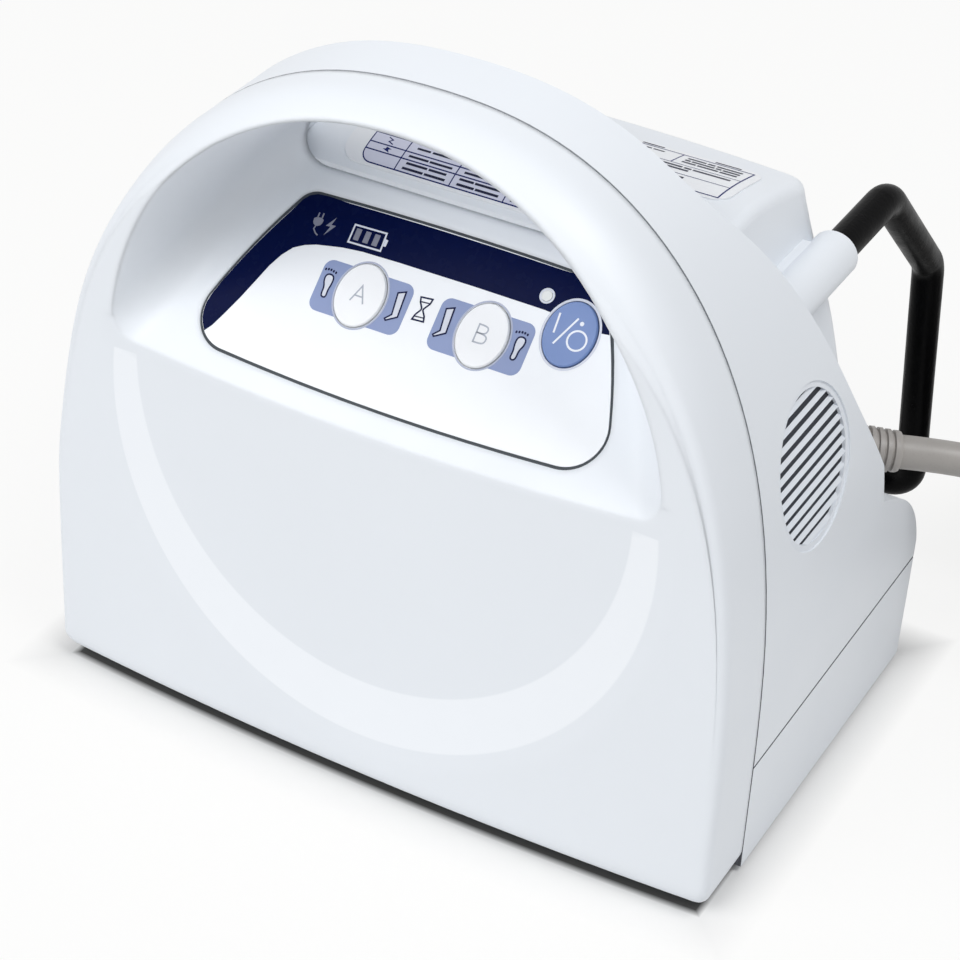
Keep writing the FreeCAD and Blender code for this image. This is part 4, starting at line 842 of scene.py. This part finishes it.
printed("print_unlit_icons", unlit + cells, unlit_grey, "housing", icon_layer)
printed("print_lamp_ring", [flat_shape([oval(*LAMP, radius, radius, 32) for radius in LAMP_RING])], pale,
        "housing", icon_layer)

stem, bowl, bar = LETTER_STROKES
letter_a = [ribbon([(-19.1, 30.0), (-17.3, 34.3), (-15.4, 30.0)], stem),
            ribbon([(-18.45, 31.6), (-16.1, 31.6)], bar)]
bowl_low = [(15.6, 32.3), (17.2, 32.3), (18.5, 31.9), (18.7, 31.0), (18.3, 30.1), (17.2, 29.9), (15.6, 29.9)]
bowl_high = [(15.6, 34.4), (17.0, 34.4), (18.1, 34.1), (18.3, 33.4), (18.0, 32.6), (17.0, 32.3), (15.6, 32.3)]
letter_b = [ribbon([(15.6, 29.7), (15.6, 34.6)], stem)]
letter_b += [ribbon(smooth_loop(half, closed=False), bowl) for half in (bowl_low, bowl_high)]
power_marks = [ribbon([(33.7, 42.9), (34.0, 37.9)], MARK_STROKE),
               ribbon([(38.6, 42.9), (34.9, 35.4)], MARK_STROKE),
               flat_shape([oval(40.3, 37.7, radius, radius, 40) for radius in (2.65, 2.15)]),
               flat_shape([oval(39.9, 41.9, 0.55, 0.55, 16)])]
printed("letter_a", letter_a, letter_grey, "button_a", key_layer)
printed("letter_b", letter_b, letter_grey, "button_b", key_layer)
printed("power_marks", power_marks, white, "power_button", key_layer)

# ---------------------------------------------------------------- printed labels

label_line = ink("ink_label_line", (0.012, 0.020, 0.13), 0.36, 0.1)
label_tint = ink("ink_label_tint", (0.66, 0.675, 0.80), 0.38)
label_grey = ink("ink_label_grey", (0.022, 0.025, 0.055), 0.36, 0.1)
label_teal = ink("ink_label_teal", (0.035, 0.19, 0.22), 0.36, 0.2)

# how far the tint and the ink lie off a label, the height that prints are dropped from, the longest
# strip along a bend, and the gap between words as a share of a letter
TINT_LIFT, LABEL_INK = 0.02, 0.035
ABOVE = 200.0
STRIP = 0.9
WORD_GAP = 0.45


def onto(node, lift):
    """Places a print on a modelled piece from straight above, a little off its surface."""
    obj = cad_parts[node]
    verts = [obj.matrix_world @ v.co for v in obj.data.vertices]
    tree = BVHTree.FromPolygons(verts, [tuple(p.vertices) for p in obj.data.polygons])

    def place(x, y):
        point, normal, _, _ = tree.ray_cast(Vector((x, y, ABOVE)) * MM, Vector((0, 0, -1)))
        if normal.z < 0:
            normal = -normal
        return point + normal * lift * MM
    return place


def along(points):
    """The same line with enough points to follow a bend."""
    out = [points[0]]
    for a, b in zip(points, points[1:]):
        pieces = max(1, math.ceil(abs(b[1] - a[1]) / STRIP))
        out += [(mix(a[0], b[0], k / pieces), mix(a[1], b[1], k / pieces)) for k in range(1, pieces + 1)]
    return out


def patch(x0, y0, x1, y1):
    """Filled rectangle cut into strips that follow a bend."""
    pieces = max(1, math.ceil((y1 - y0) / STRIP))
    verts = [(x, mix(y0, y1, k / pieces)) for k in range(pieces + 1) for x in (x0, x1)]
    return verts, [(2 * k, 2 * k + 1, 2 * k + 3, 2 * k + 2) for k in range(pieces)]


def greyed(x0, x1, y, height, words):
    """A line of small print shown as plain bars, one for each word."""
    unit = (x1 - x0) / (sum(words) + WORD_GAP * (len(words) - 1))
    bars, x = [], x0
    for word in words:
        bars.append(patch(x, y - height / 2, x + word * unit, y + height / 2))
        x += (word + WORD_GAP) * unit
    return bars


# front label: a tinted table with one rounded corner
LABEL_LEFT, LABEL_RIGHT, LABEL_FOOT, LABEL_END, LABEL_BEND = -32.3, 34.3, -34.6, -18.1, 3.0
LABEL_ROWS = (-31.3, -29.1, -25.9)
LABEL_COLUMNS = (-22.0, -6.5, 8.5, 23.0)
FRAME_RULE, ROW_RULE = 0.32, 0.36
BEND_U, BEND_V = LABEL_LEFT + LABEL_BEND, LABEL_FOOT + LABEL_BEND
bend = [(BEND_U - LABEL_BEND * math.sin(math.radians(a)), BEND_V - LABEL_BEND * math.cos(math.radians(a)))
        for a in range(0, 91, 15)]
tint = [patch(BEND_U, LABEL_FOOT, LABEL_RIGHT, LABEL_END), patch(LABEL_LEFT, BEND_V, BEND_U, LABEL_END)]
for (x0, y0), (x1, y1) in zip(bend, bend[1:]):
    tint.append(([(x0, y0), (BEND_U, y0), (BEND_U, y1), (x1, y1)], [(0, 1, 2, 3)]))
printed("print_label_tint", tint, label_tint, "housing", onto("label_plate", TINT_LIFT))
left_side = along([(LABEL_LEFT, BEND_V), (LABEL_LEFT, LABEL_END)])
rules = [ribbon([(LABEL_RIGHT, LABEL_FOOT)] + bend + left_side[1:], FRAME_RULE)]
rules += [ribbon([(LABEL_LEFT, y), (LABEL_RIGHT, y)], ROW_RULE) for y in LABEL_ROWS]
rules += [ribbon(along([(x, LABEL_FOOT), (x, LABEL_END)]), FRAME_RULE) for x in LABEL_COLUMNS]
on_label = onto("label_plate", LABEL_INK)
printed("print_label_rules", rules, label_line, "housing", on_label)

# words of the table's cells, column by column and from the top row down, by their lengths
CELLS = ((-22.0, -6.5), (-6.5, 8.5), (8.5, 23.0), (23.0, 34.5))
CELL_LINES, CELL_PRINT, CELL_MARGIN, CELL_SLACK, FULL_LINE = (-27.5, -30.2, -32.2, -33.6), 0.62, 1.2, 0.12, 18
WORDS = (((3, 5), (7, 8), (6, 5), (7, 7)),
         ((9, 7), (10, 2), (5, 9), (6, 8)),
         ((5, 2, 6), (4, 7, 5), (9, 4), (8, 6)),
         ((6, 4, 5), (8, 5), (4, 9), (9, 5)))
CAPTIONS = ((-15.0, (4, 5)), (1.5, (4, 5)), (16.5, (5, 4)), (30.5, (4, 5)))
CAPTION_LINES, CAPTION_WIDTH, CAPTION_PRINT = (-20.9, -22.6, -24.3), 6.2, 0.6
small = []
for (x0, x1), lines in zip(CELLS, WORDS):
    for words, y in zip(lines, CELL_LINES):
        inset = CELL_MARGIN + CELL_SLACK * (FULL_LINE - sum(words))
        small += greyed(x0 + inset, x1 - inset, y, CELL_PRINT, words)
for x, words in CAPTIONS:
    for y in CAPTION_LINES:
        small += greyed(x, x + CAPTION_WIDTH, y, CAPTION_PRINT, words)
printed("print_label_lines", small, label_grey, "housing", on_label)

# a battery with three cells, then a group of three bars in each column, the first of another colour
BATTERY = [(-29.9, -22.6), (-24.4, -22.6), (-23.9, -23.8), (-24.4, -25.0), (-29.9, -25.0), (-30.3, -23.8)]
BATTERY_CELLS, BATTERY_FOOT, BATTERY_HEAD = (-29.1, -27.4, -25.7), -24.5, -23.1
BARS, BAR_FOOT, BAR_HEAD, BAR_WIDTH, BAR_SHIFTS = (-20.6, -4.9, 9.9, 24.4), -24.9, -20.6, 1.1, (1.8, 3.6)
BOLT = [(-28.2, -26.6), (-26.8, -27.2), (-27.6, -27.9), (-26.2, -28.5)]
ARROW = [(-27.2, -29.5), (-25.6, -29.9), (-26.4, -30.2), (-25.9, -31.0), (-28.0, -30.3), (-27.2, -30.1)]
marks = [ribbon(smooth_loop(BATTERY, 1), MARK_STROKE, True)]
marks += [patch(x, BATTERY_FOOT, x + BAR_WIDTH, BATTERY_HEAD) for x in BATTERY_CELLS]
marks += [patch(x, BAR_FOOT, x + BAR_WIDTH, BAR_HEAD) for x in BARS]
printed("print_label_battery", marks, label_teal, "housing", on_label)
bars = [patch(x + shift, BAR_FOOT, x + shift + BAR_WIDTH, BAR_HEAD) for x in BARS for shift in BAR_SHIFTS]
bars += [ribbon(BOLT, CAP_STROKE), flat_shape([ARROW])]
printed("print_label_bars", bars, label_line, "housing", on_label)

# rear label: ruled tables at its right and left ends
REAR_LEFT, REAR_RIGHT, REAR_TOP, REAR_FOOT = -55.0, 55.0, 6.5, -13.6
REAR_ROWS, REAR_ROW_STARTS, REAR_SPLIT = (-1.0, -7.0), (31.0, 30.0), 36.0
LEFT_SPLITS, LEFT_TOP_END, LEFT_ROW_END = (-33.0, -11.0), 8.0, 24.0
BOLD_RULE, SPLIT_RULE, THIN_RULE, HAIR_RULE = 0.42, 0.36, 0.3, 0.28
outline = along([(22.0, REAR_TOP), (REAR_RIGHT, REAR_TOP), (REAR_RIGHT, REAR_FOOT), (48.0, REAR_FOOT)])
rules = [ribbon(outline, BOLD_RULE),
         ribbon(along([(REAR_SPLIT, REAR_TOP), (REAR_SPLIT, REAR_ROWS[0])]), SPLIT_RULE)]
rules += [ribbon([(x0, y), (REAR_RIGHT, y)], HAIR_RULE) for x0, y in zip(REAR_ROW_STARTS, REAR_ROWS)]
rules += [ribbon([(REAR_LEFT, REAR_TOP), (LEFT_TOP_END, REAR_TOP)], THIN_RULE)]
rules += [ribbon(along([(REAR_LEFT, REAR_TOP), (REAR_LEFT, REAR_FOOT)]), FRAME_RULE)]
rules += [ribbon([(REAR_LEFT, y), (LEFT_ROW_END, y)], HAIR_RULE) for y in (*REAR_ROWS, REAR_FOOT)]
rules += [ribbon(along([(x, REAR_TOP), (x, REAR_FOOT)]), THIN_RULE) for x in LEFT_SPLITS]
on_rear = onto("rear_label", LABEL_INK)
printed("print_rear_rules", rules, label_line, "housing", on_rear)

# lines of words by their height and lengths: the right table's cells, its headings and the left table's
REAR_PRINT, LETTER = 0.95, 1.05
UPPER_SPAN, LOWER_START = (38.0, 52.8), 34.0
UPPER_LINES = ((4.6, (5, 2, 7)), (2.9, (2, 8, 2, 6)), (1.2, (4, 6, 5)))
LOWER_LINES = ((-2.6, (6, 2, 10)), (-4.2, (2, 6)), (-8.8, (9,)), (-10.4, (4, 5)))
HEADINGS = ((24.0, 31.5, 4.6, 0.75, (4, 3)), (24.0, 30.0, 7.6, 0.7, (7,)), (44.0, 51.0, 7.6, 0.7, (9,)))
LEFT_COLUMNS, COLUMN_SLACK = (-53.5, -31.5, -9.5), 3.0
LEFT_LINES = ((4.4, (5, 3, 7)), (2.6, (7, 4)), (0.8, (3, 6, 4)), (-3.0, (8, 5)), (-5.0, (4, 7)),
              (-9.0, (6, 3, 4)), (-11.0, (9, 4)))
small = []
for y, words in UPPER_LINES:
    small += greyed(*UPPER_SPAN, y, REAR_PRINT, words)
for y, words in LOWER_LINES:
    small += greyed(LOWER_START, LOWER_START + LETTER * sum(words), y, REAR_PRINT, words)
for heading in HEADINGS:
    small += greyed(*heading)
for x0 in LEFT_COLUMNS:
    for y, words in LEFT_LINES:
        small += greyed(x0, x0 + LETTER * sum(words) + COLUMN_SLACK, y, REAR_PRINT, words)
printed("print_rear_lines", small, label_grey, "housing", on_rear)

# ---------------------------------------------------------------- dark sheet of painted shade behind the louvres

# the vent's centre and half sizes along y and z, and the depth under the side of the dark sheet that is
# painted shade
VENT_Y, VENT_Z, VENT_HALF_Y, VENT_HALF_Z = -31.5, 99.2, 18.2, 19.9
VENT_BACK, SHEET, VENT_MARGIN, VENT_STEPS = 1.45, 0.3, 0.02, 28
# the side bows in from its full half width at one height to nothing at the crest
SIDE_HALF, SIDE_START, SIDE_RISE, SIDE_POWER, SIDE_ROOT = 98.4, 24.75, 158.95, 1.41, 0.4292
# near black sheet that stands for the shade between the slats
vent_shade_paint = surface("vent_painted_shade", (0.05, 0.053, 0.063), 0.8, drift=0.2, grain=2500.0, grain_depth=0.05,
                    specular=0.05)


def side_reach(z):
    """Half width of the housing at a height, in millimetres."""
    share = ((z - SIDE_START) / SIDE_RISE) ** SIDE_POWER
    return SIDE_HALF * (1 - share ** 2) ** SIDE_ROOT


def vent_back(name, side):
    """Dark sheet of painted shade that lies between the slats and follows the bowed side of the housing."""
    verts, faces = [], []
    for k in range(VENT_STEPS + 1):
        z = VENT_Z - VENT_HALF_Z * math.cos(math.pi * k / VENT_STEPS)
        reach = VENT_HALF_Y * math.sqrt(max(0.0, 1 - ((z - VENT_Z) / VENT_HALF_Z) ** 2)) + VENT_MARGIN
        for depth in (VENT_BACK, VENT_BACK + SHEET):
            for y in (VENT_Y - reach, VENT_Y + reach):
                verts.append(Vector((side * (side_reach(z) - depth), y, z)) * MM)
    for k in range(VENT_STEPS):
        a, b = 4 * k, 4 * k + 4
        faces += [(a, a + 1, b + 1, b), (a + 2, b + 2, b + 3, a + 3), (a, b, b + 2, a + 2),
                  (a + 1, a + 3, b + 3, b + 1)]
    end = 4 * VENT_STEPS
    faces += [(0, 2, 3, 1), (end, end + 1, end + 3, end + 2)]
    obj = link_mesh(name, verts, faces)
    even_normals(obj)
    obj.data.materials.append(vent_shade_paint)
    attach(obj, "housing")


vent_back("vent_painted_shade_right", 1)
vent_back("vent_painted_shade_left", -1)
